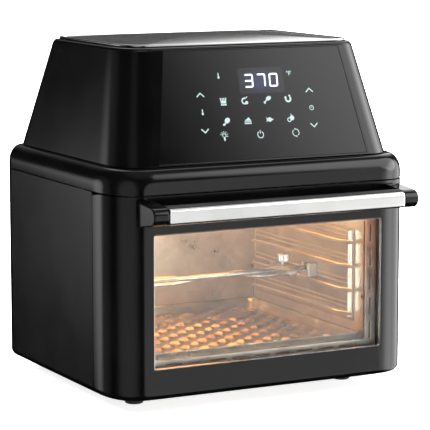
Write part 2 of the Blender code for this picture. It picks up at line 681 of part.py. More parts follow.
# ---- door --------------------------------------------------------------------------------
def door_frame():
    """Front and wrapped cheeks in one shell, cut back where it turns past the body."""
    rings = []
    for distance, z in lower_edge_profile(DOOR_TOP) + [(13 * MM, BODY_BOTTOM)]:
        right = body_path(distance, None, CHEEK_Y)
        left = [(-x, y) for x, y in reversed(right[1:])]
        rings.append(at_height(list(reversed(left + right[1:])), z))
    frame = thicken(loft("door_frame", rings, "black_gloss", cyclic=False), SKIN)
    window = as_mesh(flat_outline("window_cutter", [rounded_outline(
        WINDOW_HALF, WINDOW_BOTTOM, WINDOW_TOP, 3 * MM, 3 * MM, 3)], 40 * MM, None, CUTTERS))
    window.matrix_world = (Matrix.Translation((0, FRONT_Y, 0))
                           @ Matrix.Rotation(math.radians(90), 4, "X"))
    cut(frame, window)
    cut(frame, swing_cutter())


def swing_cutter():
    """Everything behind the arcs that the cheeks' rear corners may not pass."""
    rear = CHEEK_Y + 0.2 * MM
    top_radius = SEAM_Z - HINGE_Z - 0.5 * MM
    low_radius = rear - HINGE_Y
    corner = math.degrees(math.acos((rear - HINGE_Y) / top_radius))
    upper = arc((HINGE_Y, HINGE_Z), top_radius, corner, 88, 8)
    lower = arc((HINGE_Y, HINGE_Z), low_radius, -60, 0, 8)
    outline = lower + upper
    outline += [(HINGE_Y, 300 * MM), (0, 300 * MM), (0, 0), (lower[0][0], 0)]
    cutter = as_mesh(flat_outline("swing_cutter", [outline], 500 * MM, None, CUTTERS))
    cutter.matrix_world = Matrix(((0, 0, 1, 0), (1, 0, 0, 0), (0, 1, 0, 0), (0, 0, 0, 1)))
    return cutter


def upright_ring(name, sizes, y_from, y_to, colour):
    """A flat ring facing the front: sizes are outer and inner (half width, bottom, top)."""
    (half, low, high), (hole_half, hole_low, hole_high) = sizes
    outer = rounded_outline(half, low, high, 5 * MM, 5 * MM, 3)
    inner = rounded_outline(hole_half, hole_low, hole_high, 4 * MM, 4 * MM, 3)
    ring = flat_outline(name, [outer, inner], y_to - y_from, colour)
    ring.rotation_euler = (math.radians(90), 0, 0)
    ring.location.y = (y_from + y_to) / 2
    return ring


def door_glazing():
    """Trim, outer pane, spacer, slotted liner and inner pane, from the front to the back."""
    low, high = WINDOW_BOTTOM, WINDOW_TOP
    upright_ring("window_trim", ((WINDOW_HALF - GAP, low + GAP, high - GAP),
                                 (WINDOW_HALF - 2 * MM, low + 2 * MM, high - 2 * MM)),
                 FRONT_Y + 0.3 * MM, FRONT_Y + 3 * MM, "steel")
    box("door_glass_outer", (-151 * MM, -138.4 * MM, 44 * MM), (151 * MM, -134.4 * MM, 209 * MM),
        "glass")
    upright_ring("glass_spacer", ((156 * MM, 40 * MM, 214 * MM), (150 * MM, 45.5 * MM, 208 * MM)),
                 -134.1 * MM, -122.6 * MM, "black_satin")
    liner = as_mesh(upright_ring("door_liner", ((162.5 * MM, 31 * MM, 236 * MM),
                                                (136 * MM, 57 * MM, 197 * MM)),
                                 -122.3 * MM, -121.1 * MM, "liner_steel"))
    slots = []
    for sign in (-1, 1):
        for row in range(5):
            z = (67 + 28.6 * row) * MM
            slots.append(box("slot", (sign * 143 * MM - 1.5 * MM, -130 * MM, z - 10.5 * MM),
                             (sign * 143 * MM + 1.5 * MM, -110 * MM, z + 10.5 * MM), None,
                             group=CUTTERS))
    for column in range(9):
        x = (-112 + 28 * column) * MM
        slots.append(box("slot", (x - 10.5 * MM, -130 * MM, 50.2 * MM),
                         (x + 10.5 * MM, -110 * MM, 53 * MM), None, group=CUTTERS))
    cut(liner, join_mesh("liner_cutter", slots, CUTTERS))
    box("door_glass_inner", (-150 * MM, -120.8 * MM, 47.5 * MM), (150 * MM, -117.6 * MM, 208 * MM),
        "glass")


def door_gasket():
    """Silicone seal round the mouth of the cooking space."""
    upright_ring("door_gasket", ((152 * MM, 44 * MM, 232 * MM), (144.5 * MM, 48.5 * MM, 225 * MM)),
                 -116.8 * MM, CAVITY_FRONT - 2 * GAP - SHEET, "rubber")


def hinges():
    """Arms with welded pins on the door, turning in brackets that stand on the base pan."""
    for side, sign in (("left", -1), ("right", 1)):
        arm_x = sorted((sign * 157 * MM, sign * 161 * MM))
        arm = box("hinge_arm_" + side, (arm_x[0], -120.8 * MM, 33 * MM),
                  (arm_x[1], -112.5 * MM, 64 * MM), "dark_steel")
        pin = cylinder("pin_" + side, (sign * 155 * MM, HINGE_Y, HINGE_Z),
                       (sign * 170 * MM, HINGE_Y, HINGE_Z), 3 * MM, None, CUTTERS, 24)
        cut(arm, pin, "UNION")
        bracket(side, sign)


def along_x(name, sign, radius):
    return cylinder(name, (sign * 145 * MM, HINGE_Y, HINGE_Z), (sign * 180 * MM, HINGE_Y, HINGE_Z),
                    radius, None, CUTTERS, 24)


def bracket(side, sign):
    """Plate with an eye for the pin, and a leg behind the door's swing down to the base pan."""
    eye = arc((HINGE_Y, HINGE_Z), 7.5 * MM, 90, 280, 10)
    leg_foot = BODY_BOTTOM + 2.3 * MM + GAP
    outline = eye + [(-110 * MM, 35 * MM), (-86 * MM, 35 * MM), (-84 * MM, leg_foot),
                     (-46 * MM, leg_foot), (-46 * MM, 34 * MM), (-74 * MM, HINGE_Z + 7.5 * MM)]
    plate = as_mesh(flat_outline("hinge_bracket_" + side, [outline], 3 * MM, "dark_steel"))
    plate.matrix_world = Matrix(((0, 0, 1, sign * 165.5 * MM), (1, 0, 0, 0), (0, 1, 0, 0),
                                 (0, 0, 0, 1)))
    cut(plate, along_x("bracket_bore", sign, 3.1 * MM))


def along_the_door(name, profile, x_from, x_to, colour):
    """A profile of (y, z) points extruded along X."""
    piece = as_mesh(flat_outline(name, [profile], x_to - x_from, colour))
    piece.matrix_world = Matrix(((0, 0, 1, (x_from + x_to) / 2), (1, 0, 0, 0), (0, 1, 0, 0),
                                 (0, 0, 0, 1)))
    return piece


def handle():
    """Stainless bar with a curved face over a black core, between two black end caps."""
    radius = 11.25 * MM
    half_turn = math.degrees(math.asin(BAR_HEIGHT / 2 / radius))
    face = arc((HANDLE_FRONT + radius, HANDLE_Z), radius, 180 + half_turn, 180 - half_turn, 8)
    back = HANDLE_FRONT + 6.5 * MM
    bar = [(back, HANDLE_Z - BAR_HEIGHT / 2)] + face + [(back, HANDLE_Z + BAR_HEIGHT / 2)]
    along_the_door("handle_bar", bar, -BAR_HALF, BAR_HALF, "steel")
    box("handle_core", (-BAR_HALF, back + GAP, HANDLE_Z - BAR_HEIGHT / 2 - 1 * MM),
        (BAR_HALF, HANDLE_FRONT + 18 * MM, HANDLE_Z + BAR_HEIGHT / 2 + 2 * MM), "black_satin",
        bevel=2 * MM)
    rear = FRONT_Y - GAP
    nose = 10.2 * MM
    profile = [(rear, 211.5 * MM)]
    profile += arc((HANDLE_FRONT + nose, HANDLE_Z + 0.3 * MM), nose, 261, 95, 10)
    profile.append((rear, 240.5 * MM))
    for side, sign in (("left", -1), ("right", 1)):
        ends = sorted((sign * (BAR_HALF + GAP), sign * CAP_END))
        cap = along_the_door("handle_cap_" + side, profile, *ends, "black_gloss")
        add_bevel(cap, 1.2 * MM)


DOOR_PARTS = ("door_frame", "window_trim", "door_glass_outer", "glass_spacer", "door_liner",
              "door_glass_inner", "hinge_arm_left", "hinge_arm_right", "handle_bar",
              "handle_core", "handle_cap_left", "handle_cap_right")
FAN_PARTS = ("motor_shaft", "convection_fan", "cooling_fan")
SPIT_PARTS = ("drive_socket", "spit_rod", "fork_left", "fork_right", "thumb_screw_left",
              "thumb_screw_right")


def hang_on_axis(name, place, axis, children):
    """An empty on a joint's axis that carries the pieces which move with it."""
    pivot = bpy.data.objects.new(name, None)
    pivot.empty_display_type = "SINGLE_ARROW"
    pivot.empty_display_size = 0.05
    pivot.location = place
    pivot.rotation_mode = "QUATERNION"
    pivot.rotation_quaternion = Vector(axis).to_track_quat("Z", "Y")
    PARTS.objects.link(pivot)
    bpy.context.view_layer.update()
    for child_name in children:
        child = bpy.data.objects[child_name]
        world = child.matrix_world.copy()
        child.parent = pivot
        child.matrix_parent_inverse = pivot.matrix_world.inverted()
        child.matrix_world = world


def build():
    side_panels()
    rear_cover()
    cord_gland()
    base_pan()
    feet()
    cavity_support()
    cavity()
    front_frame()
    rack_ladders()
    drip_tray()
    fan_chamber()
    heating_element()
    fan_drive()
    lamp()
    rotisserie()
    shoulder_ring()
    deck_plate()
    crown_shell()
    control_panel()
    power_board()
    top_plate()
    door_frame()
    door_glazing()
    door_gasket()
    hinges()
    handle()
    hang_on_axis("door_axis", (0, HINGE_Y, HINGE_Z), (1, 0, 0), DOOR_PARTS)
    hang_on_axis("fan_axis", (FAN_X, FAN_Y, 300 * MM), (0, 0, 1), FAN_PARTS)
    hang_on_axis("spit_axis", (0, SPIT_Y, SPIT_Z), (1, 0, 0), SPIT_PARTS)


empty_scene()
PARTS = new_collection("air_fryer_oven")
CUTTERS = new_collection("cutters")
build()
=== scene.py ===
"""Looks of a countertop air fryer oven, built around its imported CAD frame.

Metres: X right, Y back, Z up.  The worktop is at Z 0 and the door faces -Y.  Every piece is made
in those coordinates, so a material's object coordinates are metres on the whole object.
"""
import json
import math

import bmesh
import bpy
from mathutils import Matrix, Vector


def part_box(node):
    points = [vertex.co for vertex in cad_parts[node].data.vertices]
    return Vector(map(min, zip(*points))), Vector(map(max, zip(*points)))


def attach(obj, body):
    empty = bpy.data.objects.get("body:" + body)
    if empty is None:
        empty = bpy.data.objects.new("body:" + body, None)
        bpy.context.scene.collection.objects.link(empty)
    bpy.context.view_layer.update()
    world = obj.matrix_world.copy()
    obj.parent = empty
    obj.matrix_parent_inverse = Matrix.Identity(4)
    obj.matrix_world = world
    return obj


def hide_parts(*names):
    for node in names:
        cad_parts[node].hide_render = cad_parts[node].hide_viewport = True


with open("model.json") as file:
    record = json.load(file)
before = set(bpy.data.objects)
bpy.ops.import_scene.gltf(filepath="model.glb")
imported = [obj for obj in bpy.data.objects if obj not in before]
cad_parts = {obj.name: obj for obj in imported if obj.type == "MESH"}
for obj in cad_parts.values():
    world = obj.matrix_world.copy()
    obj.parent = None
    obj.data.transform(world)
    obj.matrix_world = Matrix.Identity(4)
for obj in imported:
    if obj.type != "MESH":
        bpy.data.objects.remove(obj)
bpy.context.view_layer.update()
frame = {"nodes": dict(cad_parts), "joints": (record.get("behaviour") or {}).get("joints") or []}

MM = 0.001
CORNER = 20                         # steps in a quarter turn of a large corner
NODES = frame["nodes"]
SIDES = (("left", -1), ("right", 1))

# ---- sizes that the frame's boxes don't give ----
FRONT_RADIUS, REAR_RADIUS = 47 * MM, 35 * MM
EASING = 2.64                       # power of the front corners' curve, 2 for an ellipse
UNDERCUT = 8 * MM                   # rounding of the body's lower edge
SKIN = 3 * MM                       # thickness of the plastic shells
CROWN_RADII = ((37 * MM, 25 * MM), (31 * MM, 20 * MM))    # front and back, at base and top
CROWN_RUN = 25 * MM                 # how far the crown's front corners ease into its sides
CROWN_TAPER = (24.8 * MM, 40 * MM, 42.5 * MM)     # side, front and back, from base to top
DISPLAY_LIFT = 0.06 * MM            # printed shapes stand this far off the panel
DIGITS_AT = (10.9, 92.0)            # middle of the digits on the panel, in millimetres
SHEET = 1.2 * MM                    # thickness of the steel sheets
WINDOW = (146 * MM, 51 * MM, 202 * MM, 3 * MM)    # half width, bottom, top, corner
RAIL_HEIGHTS = (80 * MM, 108 * MM, 136.5 * MM, 165 * MM)
QUARTER = [math.radians(90 * step / 12) for step in range(13)]    # steps round a small edge

# ---- outlines from the frame: half width, front, back, both radii, run of the front corners ---
DOOR_LOW, DOOR_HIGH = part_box("door_frame")
PANEL_LOW, PANEL_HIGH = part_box("side_panel_right")
BODY_BOTTOM = DOOR_LOW.z
BODY = (DOOR_HIGH.x, DOOR_LOW.y, PANEL_HIGH.y, FRONT_RADIUS, REAR_RADIUS,
        DOOR_HIGH.y - DOOR_LOW.y - FRONT_RADIUS)
CROWN_LOW, CROWN_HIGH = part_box("crown_shell")
CROWN_BASE = (CROWN_HIGH.x, CROWN_LOW.y, CROWN_HIGH.y, *CROWN_RADII[0], CROWN_RUN)
CROWN_TOP = (CROWN_HIGH.x - CROWN_TAPER[0], CROWN_LOW.y + CROWN_TAPER[1],
             CROWN_HIGH.y - CROWN_TAPER[2], *CROWN_RADII[1], CROWN_RUN)
CROWN_RISE = CROWN_HIGH.z - CROWN_LOW.z
SLOPE = math.hypot(CROWN_TAPER[1], CROWN_RISE)
# The crown's sloping front as a frame: X right, Y up the slope, Z out of the face.
PANEL = (Matrix.Translation((0, CROWN_LOW.y, CROWN_LOW.z))
         @ Matrix.Rotation(math.radians(90) - math.atan2(CROWN_TAPER[1], CROWN_RISE), 4, "X"))
DIGITS_MIDDLE = tuple(PANEL @ Vector((DIGITS_AT[0] * MM, DIGITS_AT[1] * MM, 0)))


# ---- node helpers ----
def node(tree, kind, inputs=None, **settings):
    """A shader node: settings are its properties, inputs are its sockets' values or links."""
    made = tree.nodes.new("ShaderNode" + kind)
    for key, value in settings.items():
        setattr(made, key, value)
    for socket, value in (inputs or {}).items():
        if isinstance(value, bpy.types.NodeSocket):
            tree.links.new(value, made.inputs[socket])
        else:
            made.inputs[socket].default_value = value
    return made


def place(tree, stretch=(1, 1, 1), shift=(0, 0, 0)):
    """Object coordinates, stretched along each axis."""
    here = node(tree, "TexCoord").outputs["Object"]
    mapping = node(tree, "Mapping", {"Vector": here, "Location": shift, "Scale": stretch})
    return mapping.outputs["Vector"]


def noise(tree, scale, detail=3.0, stretch=(1, 1, 1)):
    """A noise value in object coordinates."""
    return node(tree, "TexNoise", {"Vector": place(tree, stretch), "Scale": scale,
                                   "Detail": detail}).outputs["Fac"]


def span(tree, value, low, high, start=0.3, end=0.7):
    """The value's range from start to end, mapped to low to high."""
    return node(tree, "MapRange", {"Value": value, "From Min": start, "From Max": end,
                                   "To Min": low, "To Max": high}).outputs["Result"]


def tones(tree, value, dark, light, start=0.3, end=0.7):
    """A colour that runs from dark to light as the value goes from start to end."""
    ramp = node(tree, "ValToRGB", {"Fac": value})
    for element, position, colour in zip(ramp.color_ramp.elements, (start, end), (dark, light)):
        element.position = position
        element.color = (*colour, 1.0)
    return ramp.outputs["Color"]


def bump(tree, height, strength, distance):
    """A normal from a height value."""
    return node(tree, "Bump", {"Height": height, "Strength": strength,
                               "Distance": distance}).outputs["Normal"]


def new_look(name, **sockets):
    """A material whose constant values sit on the shader's own sockets."""
    look = bpy.data.materials.new("look_" + name)
    look.use_nodes = True
    shader = look.node_tree.nodes["Principled BSDF"]
    for socket, value in sockets.items():
        shader.inputs[socket.replace("_", " ")].default_value = value
    return look, look.node_tree, shader


def wire(tree, shader, **links):
    """Links into the shader's sockets."""
    for socket, value in links.items():
        tree.links.new(value, shader.inputs[socket.replace("_", " ")])


# ---- materials ----
def surface(name, dark, light, roughness, tone, polish, grain, relief, depth, **sockets):
    """Noise in the colour, the roughness and the relief; each noise is (scale, detail, ...)."""
    look, tree, shader = new_look(name, **sockets)
    wire(tree, shader, Base_Color=tones(tree, noise(tree, *tone), dark, light),
         Roughness=span(tree, noise(tree, *polish), *roughness),
         Normal=bump(tree, noise(tree, *grain), relief, depth * MM))
    return look


def plastic(name, dark, light, roughness, grain, relief, specular=0.5):
    """Moulded plastic: fine surface grain, and faint clouds in its tone and its polish."""
    return surface(name, dark, light, roughness, (18.0, 4.0), (18.0, 4.0), (grain, 2.0), relief,
                   0.05, Specular_IOR_Level=specular)


def brushed(name, dark, light, roughness, stretch, relief):
    """Metal with long fine scratches along its least stretched axis."""
    scratches = (1.0, 4.0, stretch)
    return surface(name, dark, light, roughness, (25.0, 3.0), scratches, scratches, relief, 0.02,
                   Metallic=1.0)


def sheet_metal(name, dark, light, roughness, spangle=160.0, relief=0.15, metallic=0.9):
    """Rolled or coated sheet: crystal patches in its tone, with a faint rolling grain."""
    look, tree, shader = new_look(name, Metallic=metallic)
    cells = node(tree, "TexVoronoi", {"Vector": place(tree), "Scale": spangle,
                                      "Randomness": 1.0}).outputs["Color"]
    patch = node(tree, "SeparateColor", {"Color": cells}).outputs["Red"]
    cloud = noise(tree, 30.0, 4.0)
    mixed = node(tree, "Math", {0: patch, 1: 0.25, 2: cloud},
                 operation="MULTIPLY_ADD").outputs["Value"]
    wire(tree, shader, Base_Color=tones(tree, mixed, dark, light, 0.35, 0.85),
         Roughness=span(tree, mixed, *roughness, start=0.35, end=0.85),
         Normal=bump(tree, noise(tree, 700.0, 2.0), relief, 0.03 * MM))
    return look


def painted_heater_glow(name, dark, light, tint, start, end):
    """Sheet steel with the heater's orange glow painted on, more and more from the start height to
    the end: painted light, not heat colouring.
    """
    look, tree, shader = new_look(name, Metallic=0.85)
    cloud = noise(tree, 60.0, 4.0)
    height = node(tree, "SeparateXYZ", {0: place(tree)}).outputs["Z"]
    colour = node(tree, "Mix", {"Factor": span(tree, height, 0.0, 0.85, start, end),
                                "A": tones(tree, cloud, dark, light), "B": (*tint, 1.0)},
                  data_type="RGBA")
    wire(tree, shader, Base_Color=colour.outputs["Result"],
         Roughness=span(tree, cloud, 0.28, 0.44),
         Normal=bump(tree, noise(tree, 700.0, 2.0), 0.1, 0.03 * MM))
    return look


def clear_glass(name, tint, haze):
    """Tempered glass with a soft coating, so that its faces reflect little."""
    look, tree, shader = new_look(name, Transmission_Weight=1.0, IOR=1.22)
    film = noise(tree, 9.0, 3.0)
    wire(tree, shader, Base_Color=tones(tree, film, tint, (1.0, 1.0, 1.0)),
         Roughness=span(tree, film, 0.0, haze))
    return look


def rubber(name, dark, light):
    """Matt elastomer with a fine rough skin."""
    return surface(name, dark, light, (0.62, 0.82), (60.0,), (1500.0,), (1500.0,), 0.35, 0.08,
                   Specular_IOR_Level=0.35)


def glazed(name):
    """Unpolished ceramic with fine specks."""
    speck = (900.0, 5.0)
    return surface(name, (0.62, 0.59, 0.52), (0.86, 0.84, 0.79), (0.4, 0.62), speck, speck, speck,
                   0.2, 0.05, Specular_IOR_Level=0.4)


def circuit_board(name):
    """Circuit board: green lacquer over copper tracks on a square grid."""
    look, tree, shader = new_look(name, Coat_Weight=0.4, Coat_Roughness=0.15)
    tracks = node(tree, "TexBrick", {"Vector": place(tree), "Scale": 90.0, "Mortar Size": 0.035,
                                     "Color1": (0.012, 0.085, 0.035, 1.0),
                                     "Color2": (0.016, 0.105, 0.045, 1.0),
                                     "Mortar": (0.10, 0.28, 0.08, 1.0)})
    cloud = noise(tree, 200.0, 4.0)
    wire(tree, shader, Base_Color=tracks.outputs["Color"],
         Roughness=span(tree, cloud, 0.3, 0.5),
         Normal=bump(tree, tracks.outputs["Fac"], 0.2, 0.04 * MM))
    return look


def glowing(name, colour, strength, dim):
    """Light through a printed or diffusing surface, slightly uneven."""
    look, tree, shader = new_look(name, Base_Color=(0.02, 0.02, 0.02, 1.0), Roughness=0.3,
                                  Emission_Strength=strength)
    weaker = tuple(part * dim for part in colour)
    wire(tree, shader,
         Emission_Color=tones(tree, noise(tree, 700.0, 2.0), weaker, colour))
    return look


def glow_behind(name, colour, strength, centre, reach):
    """Gloss black with light that fades out from the middle of the display."""
    look, tree, shader = new_look(name, Base_Color=(0.008, 0.008, 0.010, 1.0),
                                  Emission_Strength=strength)
    scale = tuple(1 / size for size in reach)
    shift = tuple(-a * b for a, b in zip(centre, scale))
    far = node(tree, "VectorMath", {0: place(tree, scale, shift)},
               operation="LENGTH").outputs["Value"]
    wire(tree, shader, Emission_Color=tones(tree, far, colour, (0.0, 0.0, 0.0), 0.35, 1.0),
         Roughness=span(tree, noise(tree, 30.0), 0.07, 0.11))
    return look


def hot_element(name):
    """Oxidised heater tube with a dull red glow along parts of it."""
    look, tree, shader = new_look(name, Metallic=0.7, Emission_Strength=2.2)
    patch = noise(tree, 40.0, 3.0)
    wire(tree, shader, Base_Color=tones(tree, patch, (0.05, 0.04, 0.035), (0.16, 0.12, 0.10)),
         Roughness=span(tree, noise(tree, 600.0), 0.45, 0.7),
         Emission_Color=tones(tree, patch, (0.35, 0.05, 0.005), (1.0, 0.22, 0.03)))
    return look


def floor_look():
    """Pale paper that glows a little, so that the floor is as white as the backdrop."""
    look, tree, shader = new_look("floor", Roughness=0.9, Specular_IOR_Level=0.1,
                                  Emission_Color=(1.0, 1.0, 1.0, 1.0), Emission_Strength=0.85)
    wire(tree, shader,
         Base_Color=tones(tree, noise(tree, 3.0), (0.86, 0.86, 0.86), (0.89, 0.89, 0.89)))
    return look


# Every row: the look's maker, its name, its material slot in the record, and its settings.
LOOK_TABLE = (
    (plastic, "black_gloss", "black_gloss", (0.0007, 0.0007, 0.0008), (0.0013, 0.0013, 0.0014),
     (0.07, 0.11), 1400.0, 0.08),
    (plastic, "side_gloss", "black_gloss", (0.0007, 0.0007, 0.0008), (0.0013, 0.0013, 0.0014),
     (0.09, 0.13), 1400.0, 0.08, 0.45),
    (plastic, "black_satin", "black_satin", (0.005, 0.005, 0.005), (0.009, 0.009, 0.009),
     (0.42, 0.56), 1900.0, 0.5, 0.4),
    (plastic, "panel_glass", "panel_glass", (0.0012, 0.0012, 0.0014), (0.0020, 0.0020, 0.0022),
     (0.03, 0.06), 300.0, 0.02),
    # Matt black with no specular: a painted dark reflection band on the control panel's left edge.
    (plastic, "panel_mask", "panel_glass", (0.0010, 0.0010, 0.0010), (0.0018, 0.0018, 0.0018),
     (0.30, 0.40), 900.0, 0.05, 0.0),
    (clear_glass, "glass", "glass", (0.96, 0.97, 0.97), 0.02),
    (brushed, "steel", "steel", (0.60, 0.59, 0.57), (0.72, 0.71, 0.69), (0.17, 0.27),
     (40.0, 2600.0, 2600.0), 0.12),
    (brushed, "polished", "steel", (0.80, 0.80, 0.79), (0.88, 0.88, 0.87), (0.05, 0.10),
     (60.0, 1500.0, 1500.0), 0.03),
    # Rails: chrome tinted pale yellow, painted warm light of the lamps inside the cooking space.
    (brushed, "rail_steel", "steel", (0.74, 0.70, 0.60), (0.86, 0.82, 0.72), (0.16, 0.26),
     (1800.0, 60.0, 1800.0), 0.08),
    (brushed, "spit_steel", "steel", (0.34, 0.33, 0.31), (0.46, 0.45, 0.43), (0.20, 0.30),
     (60.0, 1500.0, 1500.0), 0.05),
    (brushed, "top_steel", "steel", (0.40, 0.40, 0.39), (0.52, 0.52, 0.51), (0.12, 0.20),
     (30.0, 1200.0, 1200.0), 0.05),
    (brushed, "handle_steel", "steel", (0.84, 0.84, 0.83), (0.92, 0.92, 0.91), (0.10, 0.16),
     (12.0, 2400.0, 2400.0), 0.04),
    (brushed, "trim_steel", "steel", (0.30, 0.30, 0.30), (0.40, 0.40, 0.40), (0.10, 0.16),
     (60.0, 1500.0, 1500.0), 0.03),
    (brushed, "bright_edge", "steel", (0.90, 0.89, 0.86), (0.96, 0.95, 0.93), (0.25, 0.35),
     (900.0, 900.0, 60.0), 0.05),
    (sheet_metal, "liner_steel", "liner_steel", (0.40, 0.32, 0.23), (0.56, 0.47, 0.36),
     (0.26, 0.42)),
    (sheet_metal, "tray_steel", "liner_steel", (0.26, 0.19, 0.11), (0.52, 0.41, 0.26),
     (0.14, 0.28), 90.0, 0.08),
    (sheet_metal, "wall_steel", "steel", (0.26, 0.19, 0.13), (0.42, 0.33, 0.24), (0.34, 0.50),
     160.0, 0.15, 0.75),
    (sheet_metal, "dark_steel", "dark_steel", (0.055, 0.055, 0.055), (0.10, 0.10, 0.098),
     (0.38, 0.55), 120.0),
    (sheet_metal, "face_steel", "dark_steel", (0.30, 0.28, 0.25), (0.42, 0.39, 0.35),
     (0.30, 0.45)),
    (sheet_metal, "plated", "steel", (0.52, 0.52, 0.50), (0.66, 0.65, 0.62), (0.28, 0.42), 200.0),
    # Door liner: painted orange glow of the heater, stronger towards the top.
    (painted_heater_glow, "heated_steel", "liner_steel", (0.30, 0.27, 0.23), (0.46, 0.42, 0.37),
     (0.80, 0.28, 0.10), 90 * MM, 200 * MM),
    (rubber, "rubber", "rubber", (0.012, 0.012, 0.012), (0.030, 0.030, 0.029)),
    (rubber, "seal", "rubber", (0.045, 0.040, 0.036), (0.075, 0.066, 0.058)),
    (glazed, "ceramic", "ceramic"),
    (circuit_board, "board", "board"),
    (hot_element, "heater", "dark_steel"),
    (glowing, "icon_light", "panel_glass", (0.66, 0.90, 0.88), 1.0, 0.8),
    (glowing, "digit_light", "panel_glass", (0.92, 0.95, 1.0), 1.8, 0.95),
    (glowing, "lamp_light", "glass", (1.0, 0.72, 0.38), 3.0, 0.7),
    (glow_behind, "display_glow", "panel_glass", (0.05, 0.06, 0.22), 0.42, DIGITS_MIDDLE,
     (28 * MM, 14 * MM, 14 * MM)),
)
LOOKS = {name: maker(name, *settings) for maker, name, _, *settings in LOOK_TABLE}


# ---- mesh helpers ----
def arc(centre, radius, start, end, steps=CORNER):
    """Points round an arc, with its angles in degrees."""
    angles = [math.radians(start + (end - start) * i / steps) for i in range(steps + 1)]
    return [(centre[0] + radius * math.cos(a), centre[1] + radius * math.sin(a)) for a in angles]


def front_corner(half, low, radius, run, steps=CORNER):
    """Right front corner that eases into the side over the radius and a further run."""
    if not run:
        return arc((half - radius, low + radius), radius, -90, 0, steps)
    long, power = radius + run, 2 / EASING
    angles = [math.radians(90 * i / steps) for i in range(steps)]
    points = [(half - radius * (1 - math.sin(t) ** power), low + long * (1 - math.cos(t) ** power))
              for t in angles]
    return points + [(half, low + long)]


def rounded(section, steps=CORNER):
    """A rectangle with round corners: half width, low, high, both radii, run of the low ones."""
    half, low, high, lr, hr, *run = section
    right = front_corner(half, low, lr, run[0] if run else 0, steps)
    return (right + arc((half - hr, high - hr), hr, 0, 90, steps)
            + arc((hr - half, high - hr), hr, 90, 180, steps)
            + [(-x, y) for x, y in reversed(right)])


def inset(section, distance):
    """The section with its edge moved inwards."""
    half, low, high, lr, hr, *run = section
    return (half - distance, low + distance, high - distance,
            max(lr - distance, 0.5 * MM), max(hr - distance, 0.5 * MM), *run)


def level(outline, z):
    """An (x, y) outline at a height."""
    return [(x, y, z) for x, y in outline]


def facing(outline, y):
    """An (x, z) outline at a depth."""
    return [(x, y, z) for x, z in outline]


def to_mesh(bm, outward=False):
    """The mesh of a bmesh, which is freed."""
    if outward:
        bmesh.ops.recalc_face_normals(bm, faces=bm.faces)
    mesh = bpy.data.meshes.new("mesh")
    bm.to_mesh(mesh)
    bm.free()
    return mesh


def loft(rings, cyclic=True, closed=False, caps=False):
    """A surface through rings of points: closed joins the last to the first, caps fills both."""
    bm = bmesh.new()
    rows = [[bm.verts.new(point) for point in ring] for ring in rings]
    pairs = list(zip(rows, rows[1:])) + ([(rows[-1], rows[0])] if closed else [])
    for lower, upper in pairs:
        count = len(lower)
        for i in range(count if cyclic else count - 1):
            j = (i + 1) % count
            bm.faces.new((lower[i], lower[j], upper[j], upper[i]))
    if caps:
        bm.faces.new(list(reversed(rows[0])))
        bm.faces.new(rows[-1])
    return to_mesh(bm, outward=closed or caps)


def scratch(data):
    """A working object, in the scene only while it is evaluated."""
    thing = bpy.data.objects.new("scratch", data)
    bpy.context.scene.collection.objects.link(thing)
    return thing


def evaluated(thing):
    """The mesh that a scratch object's curve or modifiers make. The object is removed."""
    bpy.context.view_layer.update()
    graph = bpy.context.evaluated_depsgraph_get()
    made = bpy.data.meshes.new_from_object(thing.evaluated_get(graph))
    bpy.data.objects.remove(thing)
    return made


def modified(mesh, kind, **settings):
    """The mesh after one modifier."""
    thing = scratch(mesh)
    modifier = thing.modifiers.new("work", kind)
    for key, value in settings.items():
        setattr(modifier, key, value)
    return evaluated(thing)


def curve_mesh(paths, cyclic, **settings):
    """The mesh of a curve through paths of points."""
    curve = bpy.data.curves.new("curve", "CURVE")
    for key, value in settings.items():
        setattr(curve, key, value)
    for path in paths:
        spline = curve.splines.new("POLY")
        spline.points.add(len(path) - 1)
        spline.use_cyclic_u = cyclic
        for point, where in zip(spline.points, path):
            point.co = (*where, 1)
    return evaluated(scratch(curve))


def thicken(mesh, thickness):
    """The mesh as a shell, thickened inwards."""
    return modified(mesh, "SOLIDIFY", thickness=thickness, offset=-1.0, use_even_offset=True)


def soften(mesh, width, segments=2, angle=40):
    """The mesh with its sharp edges rounded."""
    return modified(mesh, "BEVEL", width=width, segments=segments, limit_method="ANGLE",
                    angle_limit=math.radians(angle))


def carve(mesh, *cutters):
    """The mesh with the cutters' volumes taken away."""
    for cutter in cutters:
        tool = scratch(cutter)
        mesh = modified(mesh, "BOOLEAN", operation="DIFFERENCE", solver="EXACT", object=tool)
        bpy.data.objects.remove(tool)
    return mesh


def joined(*meshes):
    """Several meshes as one."""
    bm = bmesh.new()
    for mesh in meshes:
        bm.from_mesh(mesh)
        bpy.data.meshes.remove(mesh)
    return to_mesh(bm)


def moved(mesh, matrix):
    """The mesh after a transformation, its faces still outwards."""
    mesh.transform(matrix)
    if matrix.determinant() < 0:
        mesh.flip_normals()
    return mesh


def plate(outlines, thickness, matrix=Matrix.Identity(4)):
    """A flat piece centred on the XY plane: the first outline is its edge, the others holes."""
    bm = bmesh.new()
    bm.from_mesh(curve_mesh([level(outline, 0) for outline in outlines], True,
                            dimensions="2D", fill_mode="BOTH", extrude=thickness / 2))
    bmesh.ops.remove_doubles(bm, verts=bm.verts, dist=0.01 * MM)
    return moved(to_mesh(bm, outward=True), matrix)


def upright_plate(outlines, thickness, y):
    """A plate across the Y axis, with its middle at y: the outlines are in X and Z."""
    return plate(outlines, thickness, along("-Y", (0, y, 0)))


def block(low, high):
    """A plain box, only for cutting with or for rounding further."""
    outline = [(low[0], low[1]), (high[0], low[1]), (high[0], high[1]), (low[0], high[1])]
    return loft([level(outline, low[2]), level(outline, high[2])], caps=True)


